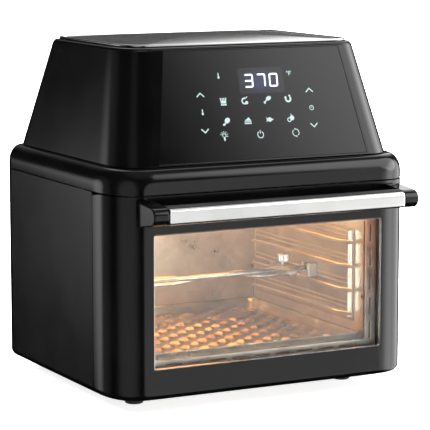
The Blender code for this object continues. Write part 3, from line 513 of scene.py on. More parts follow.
def turned(profile, matrix=Matrix.Identity(4), steps=40, ribs=0, rib_depth=0.0):
    """A profile of (radius, height) points turned about Z, with ribs round it if asked."""
    rings = []
    for radius, height in profile:
        ring = []
        for i in range(steps):
            angle = 2 * math.pi * i / steps
            reach = radius + rib_depth * min(1.0, math.cos(ribs * angle)) * (radius > 4 * MM)
            ring.append((reach * math.cos(angle), reach * math.sin(angle), height))
        rings.append(ring)
    return moved(loft(rings, caps=True), matrix)


def tube(points, radius, sides=12, cyclic=False):
    """A round bar along a path of points."""
    return curve_mesh([points], cyclic, dimensions="3D", bevel_depth=radius,
                      bevel_resolution=sides // 4, use_fill_caps=True)


def along(axis, offset=(0, 0, 0)):
    """The matrix that turns Z into the named axis and then moves by the offset."""
    turns = {"X": Matrix.Rotation(math.radians(90), 4, "Y"),
             "-X": Matrix.Rotation(math.radians(-90), 4, "Y"),
             "Y": Matrix.Rotation(math.radians(-90), 4, "X"),
             "-Y": Matrix.Rotation(math.radians(90), 4, "X"), "Z": Matrix.Identity(4),
             "-Z": Matrix.Rotation(math.radians(180), 4, "X")}
    return Matrix.Translation(offset) @ turns[axis]


def piece(name, mesh, body, look, stands_for=(), smooth=32, weighted=True):
    """A finished piece on its body, in its look, in place of the CAD nodes it stands for."""
    mesh.name = name
    mesh.materials.clear()
    mesh.materials.append(LOOKS[look])
    thing = bpy.data.objects.new(name, mesh)
    bpy.context.scene.collection.objects.link(thing)
    mesh.shade_smooth()
    mesh.set_sharp_from_angle(angle=math.radians(smooth))
    if weighted:
        thing.modifiers.new("weighted", "WEIGHTED_NORMAL").keep_sharp = True
    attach(thing, body)
    if stands_for:
        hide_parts(*stands_for)
    return thing


def box_of(name):
    """A CAD node's lowest and highest corners, and its middle."""
    low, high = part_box(name)
    return low, high, tuple((a + b) / 2 for a, b in zip(low, high))


# ---- body ----
def lower_edge(top):
    """(inset, height) down a body wall: straight, then round the lower edge."""
    return [(0.0, top)] + arc((UNDERCUT, BODY_BOTTOM + UNDERCUT), UNDERCUT, 180, 270, 10)


def side_panels():
    """Left and right panels: each wraps its rear corner and turns in behind the door."""
    jamb = PANEL_LOW.y
    for side, sign in SIDES:
        rings = []
        for distance, z in lower_edge(PANEL_HIGH.z):
            half, _, back, _, radius, _ = inset(BODY, distance)
            path = [(168 * MM, jamb), (half, jamb)]
            path += arc((half - radius, back - radius), radius, 0, 90)
            path.append((PANEL_LOW.x, back))
            rings.append([(sign * x, y, z) for x, y in (path if sign < 0 else reversed(path))])
        shell = soften(thicken(loft(rings, cyclic=False), 2.5 * MM), 0.5 * MM)
        piece("side_panel_" + side + "_skin", shell, "root", "side_gloss",
              ["side_panel_" + side])


def door_frame():
    """Front and wrapped cheeks in one shell, with the window, cut back where it swings."""
    rings = []
    for distance, z in lower_edge(DOOR_HIGH.z) + [(13 * MM, BODY_BOTTOM)]:
        half_width, front, _, radius, _, run = inset(BODY, distance)
        right = front_corner(half_width, front, radius, run)
        left = [(-x, y) for x, y in right]
        rings.append(level(list(reversed(right)) + left, z))
    shell = thicken(loft(rings, cyclic=False), SKIN)
    half, low, high, corner = WINDOW
    window = upright_plate([rounded((half, low, high, corner, corner), 6)], 40 * MM, DOOR_LOW.y)
    shell = soften(carve(shell, window, swing_cutter()), 0.7 * MM)
    piece("door_frame_skin", shell, "door", "black_gloss", ["door_frame"])


def swing_cutter():
    """Everything behind the arcs that the cheeks' rear corners may not pass."""
    hinge = next(j for j in frame["joints"] if j["name"] == "door_hinge")
    _, hinge_y, hinge_z = hinge["pos_m"]
    rear = DOOR_HIGH.y + 0.2 * MM
    top_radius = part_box("shoulder_ring")[0].z - hinge_z - 0.5 * MM
    corner = math.degrees(math.acos((rear - hinge_y) / top_radius))
    lower = arc((hinge_y, hinge_z), rear - hinge_y, -60, 0, 16)
    outline = lower + arc((hinge_y, hinge_z), top_radius, corner, 88, 16)
    outline += [(hinge_y, 0.3), (0, 0.3), (0, 0), (lower[0][0], 0)]
    upright = Matrix(((0, 0, 1, 0), (1, 0, 0, 0), (0, 1, 0, 0), (0, 0, 0, 1)))
    return plate([outline], 0.5, upright)


def shoulder():
    """Rounded shoulder between the body and the crown, hollow below."""
    low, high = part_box("shoulder_ring")
    width, height, lip = 13.5 * MM, 21 * MM, 0.7 * MM
    spring = high.z - height
    rings = [(9 * MM, low.z), (lip, low.z), (0.3 * lip, low.z + 0.3 * lip), (0.0, low.z + lip)]
    rings += [(width * (1 - math.cos(t)), spring + height * math.sin(t)) for t in QUARTER]
    rings += [(24 * MM, high.z), (24 * MM, high.z - SKIN)]
    rings += [(width - (width - SKIN) * math.cos(t), spring + (height - SKIN) * math.sin(t))
              for t in reversed(QUARTER)]
    rings += [(SKIN, low.z + SKIN), (9 * MM, low.z + SKIN)]
    shell = loft([level(rounded(inset(BODY, distance)), z) for distance, z in rings],
                 closed=True)
    piece("shoulder_skin", shell, "root", "black_gloss", ["shoulder_ring"])


def feet():
    """Rubber pads with a chamfered step: profile points are parts of the radius and height."""
    profile = ((0.90, 0.0), (0.97, 0.0), (1.0, 0.0), (0.99, -0.35), (0.93, -0.62), (0.88, -0.91),
               (0.84, -0.97), (0.76, -1.0), (0.55, -1.0), (0.52, -0.95))
    core = 0.3 * MM
    for name in sorted(n for n in NODES if n.startswith("foot_")):
        low, high, middle = box_of(name)
        radius, tall = (high.x - low.x) / 2, high.z - low.z
        points = [(part * radius, high.z + drop * tall) for part, drop in profile]
        points = [(core, high.z)] + points + [(0.5 * MM, high.z - 0.95 * tall)]
        piece(name + "_pad", turned(points, Matrix.Translation((*middle[:2], 0))), "root",
              "rubber", [name])


# ---- crown ----
def crown_section(z):
    """The crown's outline at a height."""
    part = (z - CROWN_LOW.z) / CROWN_RISE
    return tuple(a + (b - a) * part for a, b in zip(CROWN_BASE, CROWN_TOP))


def panel_outline(gap=0.0):
    """The control panel's edge on the crown's slope, or that of its opening with a gap."""
    low, top = 2.6 * MM - gap, SLOPE - 4.5 * MM + gap
    base, head = 135 * MM + gap, 117 * MM + gap
    return [(-base, low), (base, low), (head, top), (-head, top)]


def crown():
    """Tapered hood with the control panel's opening in front and vents behind."""
    edge, lip, flange = 3 * MM, 8 * MM, 22 * MM
    floor_z, top_z = CROWN_LOW.z, CROWN_HIGH.z
    walls = [(inset(CROWN_BASE, 0.4 * MM), floor_z), (CROWN_BASE, floor_z + 0.5 * MM),
             (crown_section(top_z - edge), top_z - edge)]
    for t in QUARTER[2::2]:
        walls.append((inset(CROWN_TOP, edge * (1 - math.cos(t))),
                      top_z - edge * (1 - math.sin(t))))
    walls += [(inset(CROWN_TOP, flange), top_z), (inset(CROWN_TOP, flange), top_z - SKIN),
              (inset(CROWN_TOP, SKIN), top_z - SKIN), (inset(CROWN_BASE, SKIN), floor_z + SKIN),
              (inset(CROWN_BASE, lip), floor_z + SKIN), (inset(CROWN_BASE, lip), floor_z)]
    shell = loft([level(rounded(section), z) for section, z in walls], closed=True)
    shell = carve(shell, plate([panel_outline(0.15 * MM)], 20 * MM, PANEL))
    vents = []
    for column in range(9):
        x = (16 * column - 64) * MM
        slot = rounded((2 * MM, 305 * MM, 350 * MM, 1.9 * MM, 1.9 * MM), 6)
        vents.append(plate([slot], 80 * MM, along("-Y", (x, 150 * MM, 0))))
    shell = soften(carve(shell, joined(*vents)), 0.45 * MM)
    piece("crown_skin", shell, "root", "black_gloss", ["crown_shell"])


def top_cover():
    """Brushed plate with a shallow dome, inside a polished rim."""
    low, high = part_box("top_plate")
    rings = []
    for distance, z in ((10.5, 0.0), (10.6, 1.2), (11.0, 1.8), (11.7, 2.05), (12.5, 2.1)):
        rings.append(level(rounded(inset(CROWN_TOP, distance * MM)), low.z + z * MM))
    foot = rings[-1]
    middle = Vector((0, (CROWN_TOP[1] + CROWN_TOP[2]) / 2, foot[0][2]))
    rise = high.z - foot[0][2]
    for step in range(1, 15):
        inward = step / 15
        height = rise * (1 - (1 - inward) ** 2.2)
        rings.append([tuple(middle + (Vector(p) - middle) * (1 - inward)
                            + Vector((0, 0, height))) for p in foot])
    dome = loft(rings)
    bm = bmesh.new()
    bm.from_mesh(dome)
    bmesh.ops.holes_fill(bm, edges=[e for e in bm.edges if e.is_boundary
                                    and e.verts[0].co.z > high.z - 0.5 * MM])
    piece("top_cover", thicken(to_mesh(bm), SHEET), "root", "top_steel", ["top_plate"])
    rim_low, rim_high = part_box("top_rim")
    radius = (rim_high.z - rim_low.z) / 2
    path = level(rounded(inset(CROWN_TOP, 8.2 * MM)), rim_low.z + radius)
    piece("top_rim_bead", tube(path, radius, 16, cyclic=True), "root", "polished",
          ["top_rim"], smooth=80, weighted=False)


# ---- display ----
def prism(outlines, low, high):
    """Flat shapes between two heights, in one mesh."""
    bm = bmesh.new()
    for outline in outlines:
        bottom = [bm.verts.new((x, y, low)) for x, y in outline]
        top = [bm.verts.new((x, y, high)) for x, y in outline]
        bm.faces.new(list(reversed(bottom)))
        bm.faces.new(top)
        for i, start in enumerate(bottom):
            j = (i + 1) % len(bottom)
            bm.faces.new((start, bottom[j], top[j], top[i]))
    return to_mesh(bm, outward=True)


def stroke(start, end, width):
    """A bar with round ends."""
    (x0, y0), (x1, y1) = start, end
    turn = math.degrees(math.atan2(y1 - y0, x1 - x0))
    return (arc(end, width / 2, turn - 90, turn + 90, 6)
            + arc(start, width / 2, turn + 90, turn + 270, 6))


def disc(x, y, radius, squash=1.0, turn=0.0):
    """A round or oval shape."""
    lean = math.radians(turn)
    points = [(radius * math.cos(a), squash * radius * math.sin(a))
              for a in (2 * math.pi * i / 24 for i in range(24))]
    return [(x + px * math.cos(lean) - py * math.sin(lean),
             y + px * math.sin(lean) + py * math.cos(lean)) for px, py in points]


def ring(x, y, radius, width, start=0.0, end=360.0):
    """A round stroke, split in two so that each half is one outline."""
    middle = (start + end) / 2
    return [arc((x, y), radius, a, b, 14) + arc((x, y), radius - width, b, a, 14)
            for a, b in ((start, middle), (middle, end))]


def chevron(direction):
    """An arrow head, up or down."""
    return [stroke((-4.2, -2.0 * direction), (0, 2.0 * direction), 1.3),
            stroke((4.2, -2.0 * direction), (0, 2.0 * direction), 1.3)]


def rays(count, start, end, y):
    """Short strokes outwards from a middle at height y, over the upper half turn."""
    strokes = []
    for a in (math.radians(36 * i - 18) for i in range(count)):
        inner, outer = ((reach * math.cos(a), y + reach * math.sin(a)) for reach in (start, end))
        strokes.append(stroke(inner, outer, 0.7))
    return strokes


ICONS = {
    "probe": [stroke((0, 0), (0, 3.4), 1.2), disc(0, -1.4, 1.35)],
    "clock": ring(0, 0, 2.9, 0.8) + [stroke((0, 0), (0, 1.4), 0.5), stroke((0, 0), (1, 0), 0.5)],
    "fries": [[(-3.4, -4.2), (3.4, -4.2), (3.7, -2.6), (-3.7, -2.6)],
              [(-3.2, -1.9), (3.2, -1.9), (3.6, 1.2), (-3.6, 1.2)]]
             + [stroke((x, 1.6), (1.15 * x, 4.0), 1.2) for x in (-3.0, -1.0, 1.0, 3.0)],
    "vegetable": ring(-0.6, -0.2, 4.0, 1.7, 60, 330)
                 + [disc(1.8, -2.2, 1.9), stroke((1.4, 3.0), (3.0, 4.6), 0.9)],
    "drumstick": [disc(1.8, 1.6, 3.6, 0.66, 25), stroke((-1.4, -0.8), (-3.6, -2.9), 1.5),
                  disc(-4.0, -2.6, 1.0), disc(-3.4, -3.6, 1.0)],
    "shrimp": ring(0, 0, 4.2, 2.2, 150, 400) + [disc(-3.1, 1.6, 1.4), disc(2.2, 3.4, 1.2)],
    "poultry": [disc(1.5, 1.3, 3.7, 0.78, 40), stroke((-1.6, -2.2), (-3.2, -3.6), 2.0),
                disc(-3.6, -3.2, 1.1)],
    "cake": [[(-4.4, -0.2), (1.4, 3.8), (4.4, -0.2)],
             [(-4.4, -2.0), (4.4, -2.0), (4.4, -0.9), (-4.4, -0.9)],
             [(-4.4, -3.8), (4.4, -3.8), (4.4, -2.7), (-4.4, -2.7)]],
    "fish": [disc(-0.4, 0, 3.0, 0.85), [(1.8, 1.4), (4.9, 0.0), (1.8, -1.4)],
             [(-2.4, 0.3), (-4.9, 3.2), (-4.2, 0.0)], [(-2.4, -0.3), (-4.2, 0.0), (-4.9, -3.2)]],
    "fruit": [disc(1.4, 0.6, 2.9)] + ring(-2.2, -1.4, 2.7, 1.1)
             + [stroke((1.2, 3.8), (0.2, 5.2), 0.7)],
    "bulb": ring(0, 1.2, 2.5, 0.8, -60, 240) + rays(6, 3.3, 4.8, 1.2)
            + [stroke((0, -1.4), (0, -4.0), 2.0)],
    "power": ring(0, 0, 4.2, 1.0, 120, 420) + [stroke((0, 1.6), (0, 4.8), 1.0)],
    "rotate": ring(0, 0, 4.5, 0.9, 130, 280) + ring(0, 0, 4.5, 0.9, 310, 460)
              + [[(-1.2, 2.9), (1.0, 4.1), (-1.2, 5.3)],
                 [(1.2, -2.9), (-1.0, -4.1), (1.2, -5.3)]],
    "degree": ring(-3.0, 1.8, 1.0, 0.5)
              + [stroke((-0.9, -2.2), (-0.9, 2.2), 0.8), stroke((-0.9, 2.2), (2.2, 2.2), 0.8),
                 stroke((-0.9, 0.1), (1.5, 0.1), 0.8)],
}
ICON_COLUMNS = (-40.7, -13.3, 15.1, 42.1)
ICON_ROWS = ((69.4, ("fries", "vegetable", "drumstick", "shrimp")),
             (46.6, ("poultry", "cake", "fish", "fruit")))
SINGLE_ICONS = (("degree", 48.5, 98.8), ("bulb", -45.6, 30.0), ("power", 0.3, 30.0),
                ("rotate", 45.8, 30.0), ("clock", 71.0, 57.8))
SEGMENTS = {"3": "abcdg", "7": "abc", "0": "abcdef"}


def digit(character):
    """Seven-segment digit about its middle, in millimetres."""
    half, tall, gap = 4.7, 6.9, 0.85
    ends = {"a": ((-half, tall), (half, tall)), "g": ((-half, 0), (half, 0)),
            "d": ((-half, -tall), (half, -tall)), "b": ((half, tall), (half, 0)),
            "c": ((half, 0), (half, -tall)), "f": ((-half, tall), (-half, 0)),
            "e": ((-half, 0), (-half, -tall))}
    shapes = []
    for name in SEGMENTS[character]:
        (x0, y0), (x1, y1) = ends[name]
        long = math.hypot(x1 - x0, y1 - y0)
        dx, dy = (x1 - x0) / long * gap, (y1 - y0) / long * gap
        shapes.append(stroke((x0 + dx, y0 + dy), (x1 - dx, y1 - dy), 1.9))
    lean = 0.06
    return [[(x + lean * y, y) for x, y in shape] for shape in shapes]


def print_on_panel(name, shapes, x, y, look, height=0.1):
    """Shapes drawn in millimetres, as a thin lit piece on the control panel."""
    outlines = [[((px + x) * MM, (py + y) * MM) for px, py in shape] for shape in shapes]
    mesh = prism(outlines, DISPLAY_LIFT, DISPLAY_LIFT + height * MM)
    return piece(name, moved(mesh, PANEL), "root", look, smooth=20, weighted=False)


def display():
    """Digits, touch symbols and the soft light behind the digits."""
    middle, height = DIGITS_AT
    for index, character in enumerate("370"):
        print_on_panel("digit_{}".format(index), digit(character), middle + 15.8 * (index - 1),
                       height, "digit_light")
    places = [(name, x, y) for y, names in ICON_ROWS for x, name in zip(ICON_COLUMNS, names)]
    for name, x, y in (*places, *SINGLE_ICONS):
        print_on_panel("symbol_" + name, ICONS[name], x, y, "icon_light")
    for where, x, y in (("top", -42.5, 98.6), ("side", -68.5, 58.2)):
        print_on_panel("symbol_probe_" + where, ICONS["probe"], x, y, "icon_light")
    for side, x in (("left", -68.5), ("right", 71.0)):
        for way, direction, y in (("up", 1, 78.4), ("down", -1, 37.4)):
            print_on_panel("arrow_{}_{}".format(side, way), chevron(direction), x, y,
                           "icon_light")
    print_on_panel("display_backlight", [rounded((29, 77, 107, 4, 4), 6)], middle, 0,
                   "display_glow", 0.02)


def control_panel():
    """Glossy touch panel with a soft edge all round, and a matt black strip over its left edge, a
    painted dark reflection band.
    """
    slab = plate([panel_outline()], 3 * MM, Matrix.Translation((0, 0, -1.5 * MM)))
    piece("control_panel_glass", moved(soften(slab, 0.5 * MM, 3), PANEL), "root",
          "panel_glass", ["control_panel"])
    top = SLOPE / MM - 3.2
    # Painted dark reflection: an unreflecting black strip along the panel's left edge.
    reflection_band = [(-137.6, 1.6), (-130.6, 1.6), (-106.6, top), (-120.0, top)]
    print_on_panel("panel_mask_strip", [reflection_band], 0, 0, "panel_mask", 0.3)


# ---- door details ----
def upright_frame(half, low, high, radius, profile):
    """A closed profile of (inwards, y) points swept round a rounded rectangle."""
    section = (half, low, high, radius, radius)
    return loft([facing(rounded(inset(section, inward), 8), y) for inward, y in profile],
                closed=True)


def window_trim():
    """Thin bright bead round the window, with a step towards the glass."""
    low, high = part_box("window_trim")
    front, back = low.y, high.y
    profile = [(0.0, back), (0.0, front + 0.2 * MM), (0.2 * MM, front), (0.45 * MM, front),
               (0.7 * MM, front + 0.5 * MM), (1.1 * MM, front + 0.6 * MM),
               (1.7 * MM, back - 0.4 * MM), (1.7 * MM, back)]
    piece("window_trim_bead", upright_frame(high.x, low.z, high.z, 3 * MM, profile), "door",
          "trim_steel", ["window_trim"], smooth=30, weighted=False)


def gasket():
    """Soft round seal on the front frame."""
    low, high, (_, middle, _) = box_of("door_gasket")
    depth, width, edge = (high.y - low.y) / 2, 3.0 * MM, 0.5 * MM
    profile = [(width + 0.9 * width * math.cos(a), middle + depth * math.sin(a))
               for a in (2 * math.pi * i / 14 for i in range(14))]
    bulb = upright_frame(high.x, low.z + edge, high.z - edge, 9 * MM, profile)
    piece("door_gasket_bulb", bulb, "root", "seal", ["door_gasket"], smooth=60, weighted=False)


def slot_outline(x, z, half_wide, half_tall):
    """A slot with round ends, about its middle."""
    corner = min(half_wide, half_tall) * 0.98
    outline = rounded((half_wide, z - half_tall, z + half_tall, corner, corner), 5)
    return [(px + x, pz) for px, pz in outline]


def door_liner():
    """Pressed liner between the panes, with long slots for the cooling air."""
    low, high, (_, y, _) = box_of("door_liner")
    outlines = [rounded((high.x, low.z, high.z, 5 * MM, 5 * MM), 6),
                rounded((136 * MM, 57 * MM, 197 * MM, 4 * MM, 4 * MM), 6)]
    long = 10.5 * MM
    for _, sign in SIDES:
        outlines += [slot_outline(sign * 143 * MM, (67 + 28.6 * row) * MM, 1.5 * MM, long)
                     for row in range(5)]
    outlines += [slot_outline((28 * column - 112) * MM, 51.6 * MM, long, 1.4 * MM)
                 for column in range(9)]
    sheet = upright_plate(outlines, high.y - low.y, y)
    # The liner's orange towards the top is painted heater light.
    piece("door_liner_sheet", soften(sheet, 0.25 * MM), "door", "heated_steel", ["door_liner"])


def panes():
    """Both panes, each with ground edges."""
    for side in ("outer", "inner"):
        low, high, (_, y, _) = box_of("door_glass_" + side)
        outline = rounded((high.x, low.z, high.z, 4 * MM, 4 * MM), 6)
        piece("pane_" + side, soften(upright_plate([outline], high.y - low.y, y), 0.6 * MM),
              "door", "glass", ["door_glass_" + side], smooth=20)


def extruded(profile, stations):
    """A closed profile of (y, z) points along X: stations are (x, shrink) pairs."""
    y0, z0 = (sum(values) / len(profile) for values in zip(*profile))
    rings = [[(x, y0 + (y - y0) * shrink, z0 + (z - z0) * shrink) for y, z in profile]
             for x, shrink in stations]
    return loft(rings, caps=True)


def round_ends(start, end, depth):
    """Stations from one end to the other, with the ends rounded over."""
    near = []
    for turn in (90, 65, 40, 15):
        a, b = math.radians(turn), math.radians(90 - turn)
        near.append((start + depth * (1 - math.sin(a)), 1 - 0.10 * (1 - math.sin(b))))
    return near + [(start + end - x, shrink) for x, shrink in reversed(near)]


def handle_bar():
    """Polished bar with a full, rounded face and a fine groove under its upper edge."""
    low, high, (_, _, middle) = box_of("handle_bar")
    half, bulge, power = (high.z - low.z) / 2, 4.5 * MM, 3.2
    groove_at, groove_width, groove_depth = 0.74, 0.055, 0.22 * MM
    face = []
    for step in range(61):
        part = -math.cos(math.pi * step / 60)
        depth = bulge * (1 - max(0.0, 1 - abs(part) ** power) ** (1 / power))
        groove = groove_depth * math.exp(-((part - groove_at) / groove_width) ** 2)
        face.append((low.y + depth + groove, middle + half * part))
    profile = [(high.y, low.z)] + face + [(high.y, high.z)]
    mesh = extruded(profile, round_ends(low.x, high.x, 1.2 * MM))
    piece("handle_bar_face", mesh, "door", "handle_steel", ["handle_bar"], smooth=40)


def handle_core():
    """Satin grip behind the bar."""
    low, high, (_, middle, _) = box_of("handle_core")
    section = rounded(((high.y - low.y) / 2, low.z, high.z, 3 * MM, 3 * MM), 6)
    profile = [(y + middle, z) for y, z in section]
    piece("handle_grip", extruded(profile, [(low.x, 1.0), (high.x, 1.0)]), "door", "black_satin",
          ["handle_core"])


def handle_caps():
    """Black end caps with a round nose that reach back to the door."""
    nose = 10.2 * MM
    _, _, (_, _, bar_z) = box_of("handle_bar")
    for side, _ in SIDES:
        low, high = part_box("handle_cap_" + side)
        profile = [(high.y, low.z)]
        profile += arc((low.y + nose, bar_z + 0.3 * MM), nose, 261, 95, 24) + [(high.y, high.z)]
        cap = soften(extruded(profile, [(low.x, 1.0), (high.x, 1.0)]), 1.6 * MM, 4, 50)
        piece("handle_end_" + side, cap, "door", "black_gloss", ["handle_cap_" + side])


# ---- cooking space ----
def bead(face, z, out, tall):
    """Points of a half-round pressed line in the ladder's sheet, from the top down."""
    return [(face - out * math.sin(math.radians(t)), z + tall * math.cos(math.radians(t)))
            for t in range(0, 181, 30)]


def rack_ladders():
    """Pressed sheet on each wall: four lipped rails, with two pressed lines above each."""
    # A rail from its root to its lip and back: distances from the sheet's face or the rail's tip.
    root_top, root_low = ((0, 2.0), (-0.8, 0.6)), ((-0.8, -0.3), (0, -1.6))
    lip = ((1.6, 0.2), (1.3, 0.8), (1.3, 2.8), (0.7, 3.2), (0.1, 2.8), (0, -0.4), (0.5, -0.9))
    for side, sign in SIDES:
        low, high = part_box("rack_ladder_" + side)
        tip, wall = sorted((abs(low.x), abs(high.x)))
        face = wall - SHEET
        section = [(wall, low.z), (wall, high.z), (face, high.z)]
        for z in reversed(RAIL_HEIGHTS):
            for rise in (12.0 * MM, 6.5 * MM):
                section += bead(face, z + rise, 1.3 * MM, 1.2 * MM)
            for start, offsets in ((face, root_top), (tip, lip), (face, root_low)):
                section += [(start + out * MM, z + up * MM) for out, up in offsets]
        section.append((face, low.z))
        rings = []
        for y, depth in ((low.y, 0.12), (low.y + 14 * MM, 1.0), (high.y - 10 * MM, 1.0),
                         (high.y, 0.2)):
            points = [(sign * (face - (face - x) * depth if x < face else x), y, z)
                      for x, z in section]
            rings.append(points if sign > 0 else list(reversed(points)))
        sheet = loft(rings, caps=True)
        if sign < 0:
            _, _, (_, y, z) = box_of("spit_rod")
            hole = turned([(10 * MM, -0.02), (10 * MM, 0.02)], along("X", (low.x, y, z)))
            sheet = carve(sheet, hole)
        piece("rack_ladder_{}_pressing".format(side), sheet, "root", "wall_steel",
              ["rack_ladder_" + side], smooth=40)
        ladder_flange(side, sign, low, high, face)
        rail_lips(side, sign, low, high, tip, face)


def rail_lips(side, sign, low, high, tip, face):
    """Bright rolled lip along each rail, and thin wires in the sheet's two lines above it."""
    lines = []
    for z in RAIL_HEIGHTS:
        ends = (low.y + 14 * MM, high.y - 10 * MM)
        lips = [(face - 1.2 * MM, low.y + 0.5 * MM), (tip + 0.9 * MM, ends[0]),
                (tip + 0.9 * MM, ends[1])]
        lines.append(tube([(sign * x, y, z + 2.6 * MM) for x, y in lips], 0.85 * MM))
        for rise in (6.5 * MM, 12.0 * MM):
            lines.append(tube([(sign * (face - 1.1 * MM), y, z + rise) for y in
                               (low.y + 3 * MM, high.y - 3 * MM)], 0.6 * MM))
    # The rails' yellow tint is painted warm light.
    piece("rail_lips_" + side, joined(*lines), "root", "rail_steel", smooth=60, weighted=False)


def ladder_flange(side, sign, low, high, face):
    """Polished strips turned in at the ladder's front edge, between the rails."""
    strips = []
    stops = [low.z + 1 * MM, *RAIL_HEIGHTS, high.z - 1 * MM]
    for start, end in zip(stops, stops[1:]):
        xs = sorted((sign * (face - 6.2 * MM), sign * (face - 0.6 * MM)))
        strips.append(block((xs[0], low.y + 2.0 * MM, start + 3.6 * MM),
                            (xs[1], low.y + 2.9 * MM, max(end - 1.6 * MM, start + 5 * MM))))
    piece("ladder_flange_" + side, soften(joined(*strips), 0.3 * MM), "root", "bright_edge")


def drip_tray():
    """Pan with a turned-out rim and a floor of pressed diamonds."""
    low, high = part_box("drip_tray")
    floor = low.z + 0.9 * MM
    half, front, back = high.x - 9 * MM, low.y + 8.5 * MM, high.y - 7 * MM
    levels = ((0.0, 0.0, 0.0, 0.0), (3.0, 3.0, 3.0, 1.2), (4.4, 4.4, 4.2, 7.5),
              (5.0, 5.0, 5.0, 10.6), (5.6, 5.6, 5.4, 11.2), (8.6, 8.2, 6.8, 11.6))
    rings = []
    for side, forward, rearward, up in levels:
        section = (half + side * MM, front - forward * MM, back + rearward * MM, 8 * MM, 8 * MM)
        rings.append(level(rounded(section, 8), floor - 0.9 * MM + up * MM))
    rim = thicken(loft(rings), 0.8 * MM)
    piece("drip_tray_rim", rim, "root", "tray_steel", ["drip_tray"], smooth=50)
    piece("drip_tray_floor", diamond_floor(half, front, back, floor), "root", "tray_steel",
          smooth=18)


def diamond_floor(half, front, back, floor):
    """A sheet with staggered raised diamonds, and its plain underside."""
    pitch_x, pitch_y, relief, margin = 36 * MM, 27 * MM, 3.2 * MM, 9 * MM
    slope_x, slope_y, flat_top = 3.0, 3.6, 0.6
    across, deep = 150, 132
    rings = []
    for j in range(deep + 1):
        y = front + (back - front) * j / deep
        row = []
        for i in range(across + 1):
            x = -half + 2 * half * i / across
            height = 0.0
            for stagger in (0.0, 0.5):
                u = (x / pitch_x + stagger) % 1.0 - 0.5
                v = (y / pitch_y + stagger) % 1.0 - 0.5
                height = max(height, 1 - (abs(u) * slope_x + abs(v) * slope_y))
            edge = min(half - abs(x), y - front, back - y) / margin
            fade = min(1.0, max(0.0, edge)) / flat_top
            row.append((x, y, floor + relief * min(height, flat_top) * fade))
        rings.append(row)
    return thicken(loft(rings, cyclic=False), 0.6 * MM)


def heater():
    """Heater tube in nearly two narrowing turns round the fan's axis."""
    low, high, (_, _, height) = box_of("heating_element")
    _, _, (fan_x, fan_y, _) = box_of("fan_housing")
    turns, outer, shrink, steps = 660, 84 * MM, 36 * MM, 160
    points = []
    for i in range(steps + 1):
        angle = math.radians(-90 + turns * i / steps)
        radius = outer - shrink * i / steps
        points.append((fan_x + radius * math.cos(angle), fan_y + radius * math.sin(angle), height))
    piece("heater_tube", tube(points, (high.z - low.z) / 2, 16), "root", "heater",
          ["heating_element"], smooth=60, weighted=False)


def lamp():
    """Ribbed glass dome over the lamp, lit from inside."""
    low, high, middle = box_of("lamp_lens")
    radius, depth = (high.y - low.y) / 2, high.x - low.x
    dome = [math.radians(t) for t in range(0, 91, 15)]
    profile = [(radius, 0.0), (radius, 0.3 * depth)]
    profile += [(radius * (0.86 * math.cos(t) + 0.02), depth * (0.3 + 0.7 * math.sin(t)))
                for t in dome]
    lens = turned(profile, along("X", (low.x, *middle[1:])), 72, ribs=18, rib_depth=0.35 * MM)
    piece("lamp_dome", lens, "root", "lamp_light", ["lamp_lens"], smooth=50)


def rotisserie():
    """Spit rod with a point, forks with curved tines, and knurled thumb screws."""
    low, high, (_, y, z) = box_of("spit_rod")
    axis = Vector((0, y, z))
    radius = (high.z - low.z) / 2
    profile = [(0.85, low.x), (1.0, low.x + 1 * MM), (1.0, high.x - 12 * MM),
               (0.75, high.x - 11 * MM), (0.75, high.x - 5 * MM), (1.0, high.x - 4 * MM),
               (0.35, high.x)]
    rod = turned([(part * radius, x) for part, x in profile], along("X", axis), 32)
    piece("spit_rod_turned", rod, "spit", "spit_steel", ["spit_rod"], smooth=40)
    for side, sign in SIDES:
        fork(side, sign, axis)
        thumb_screw(side)


def fork(side, sign, axis):
    """A hub on the rod, with two long tines that bow and come to a point."""
    low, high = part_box("fork_" + side)
    x = sign * (max(abs(low.x), abs(high.x)) - 5 * MM)
    outline = rounded(((high.y - low.y) / 2, -6.5 * MM, 6.5 * MM, 5 * MM, 5 * MM), 8)
    hole = arc((0, 0), 3.5 * MM, 0, 345, 23)
    hub = soften(plate([outline, hole], 9.8 * MM), 0.9 * MM, 3)
    sideways = Matrix(((0, 0, 1, x), (1, 0, 0, axis.y), (0, 1, 0, axis.z), (0, 0, 0, 1)))
    parts = [moved(hub, sideways)]
    reach = 62 * MM
    for offset in (-20 * MM, 20 * MM):
        points = [(x - sign * reach * t, axis.y + offset, axis.z - 1.2 * MM * math.sin(3.1 * t))
                  for t in (i / 16 for i in range(17))]
        tine = tube(points, 2.3 * MM, 12)
        parts.append(tapered(tine, x, sign, reach, axis.y + offset, axis.z))
    piece("fork_{}_forged".format(side), joined(*parts), "spit", "spit_steel", ["fork_" + side],
          smooth=45)


def tapered(mesh, x, sign, reach, y, z):
    """Draws a tine to a point away from its hub."""
    for vertex in mesh.vertices:
        part = max(0.0, (x - vertex.co.x) * sign / reach)
        shrink = 1 - 0.85 * max(0.0, part - 0.7) / 0.3
        vertex.co.y = y + (vertex.co.y - y) * shrink
        vertex.co.z = z + (vertex.co.z - z) * shrink
    return mesh


def thumb_screw(side):
    """Knurled head on a plain shank: its profile is (part of the radius, drop in millimetres)."""
    low, high, (x, y, _) = box_of("thumb_screw_" + side)
    head = ((0.80, 0), (0.92, 0.8), (0.94, 2), (0.94, 8.6), (0.86, 9.8))
    radius, shank, core = (high.x - low.x) / 2, 3.2 * MM, 0.3 * MM
    profile = [(core, high.z)] + [(part * radius, high.z - drop * MM) for part, drop in head]
    profile += [(shank, high.z - 10.2 * MM), (shank, low.z), (core, low.z)]
    mesh = turned(profile, Matrix.Translation((x, y, 0)), 96, ribs=16, rib_depth=0.42 * MM)
    piece("thumb_screw_{}_knurled".format(side), mesh, "spit", "spit_steel",
          ["thumb_screw_" + side], smooth=50)


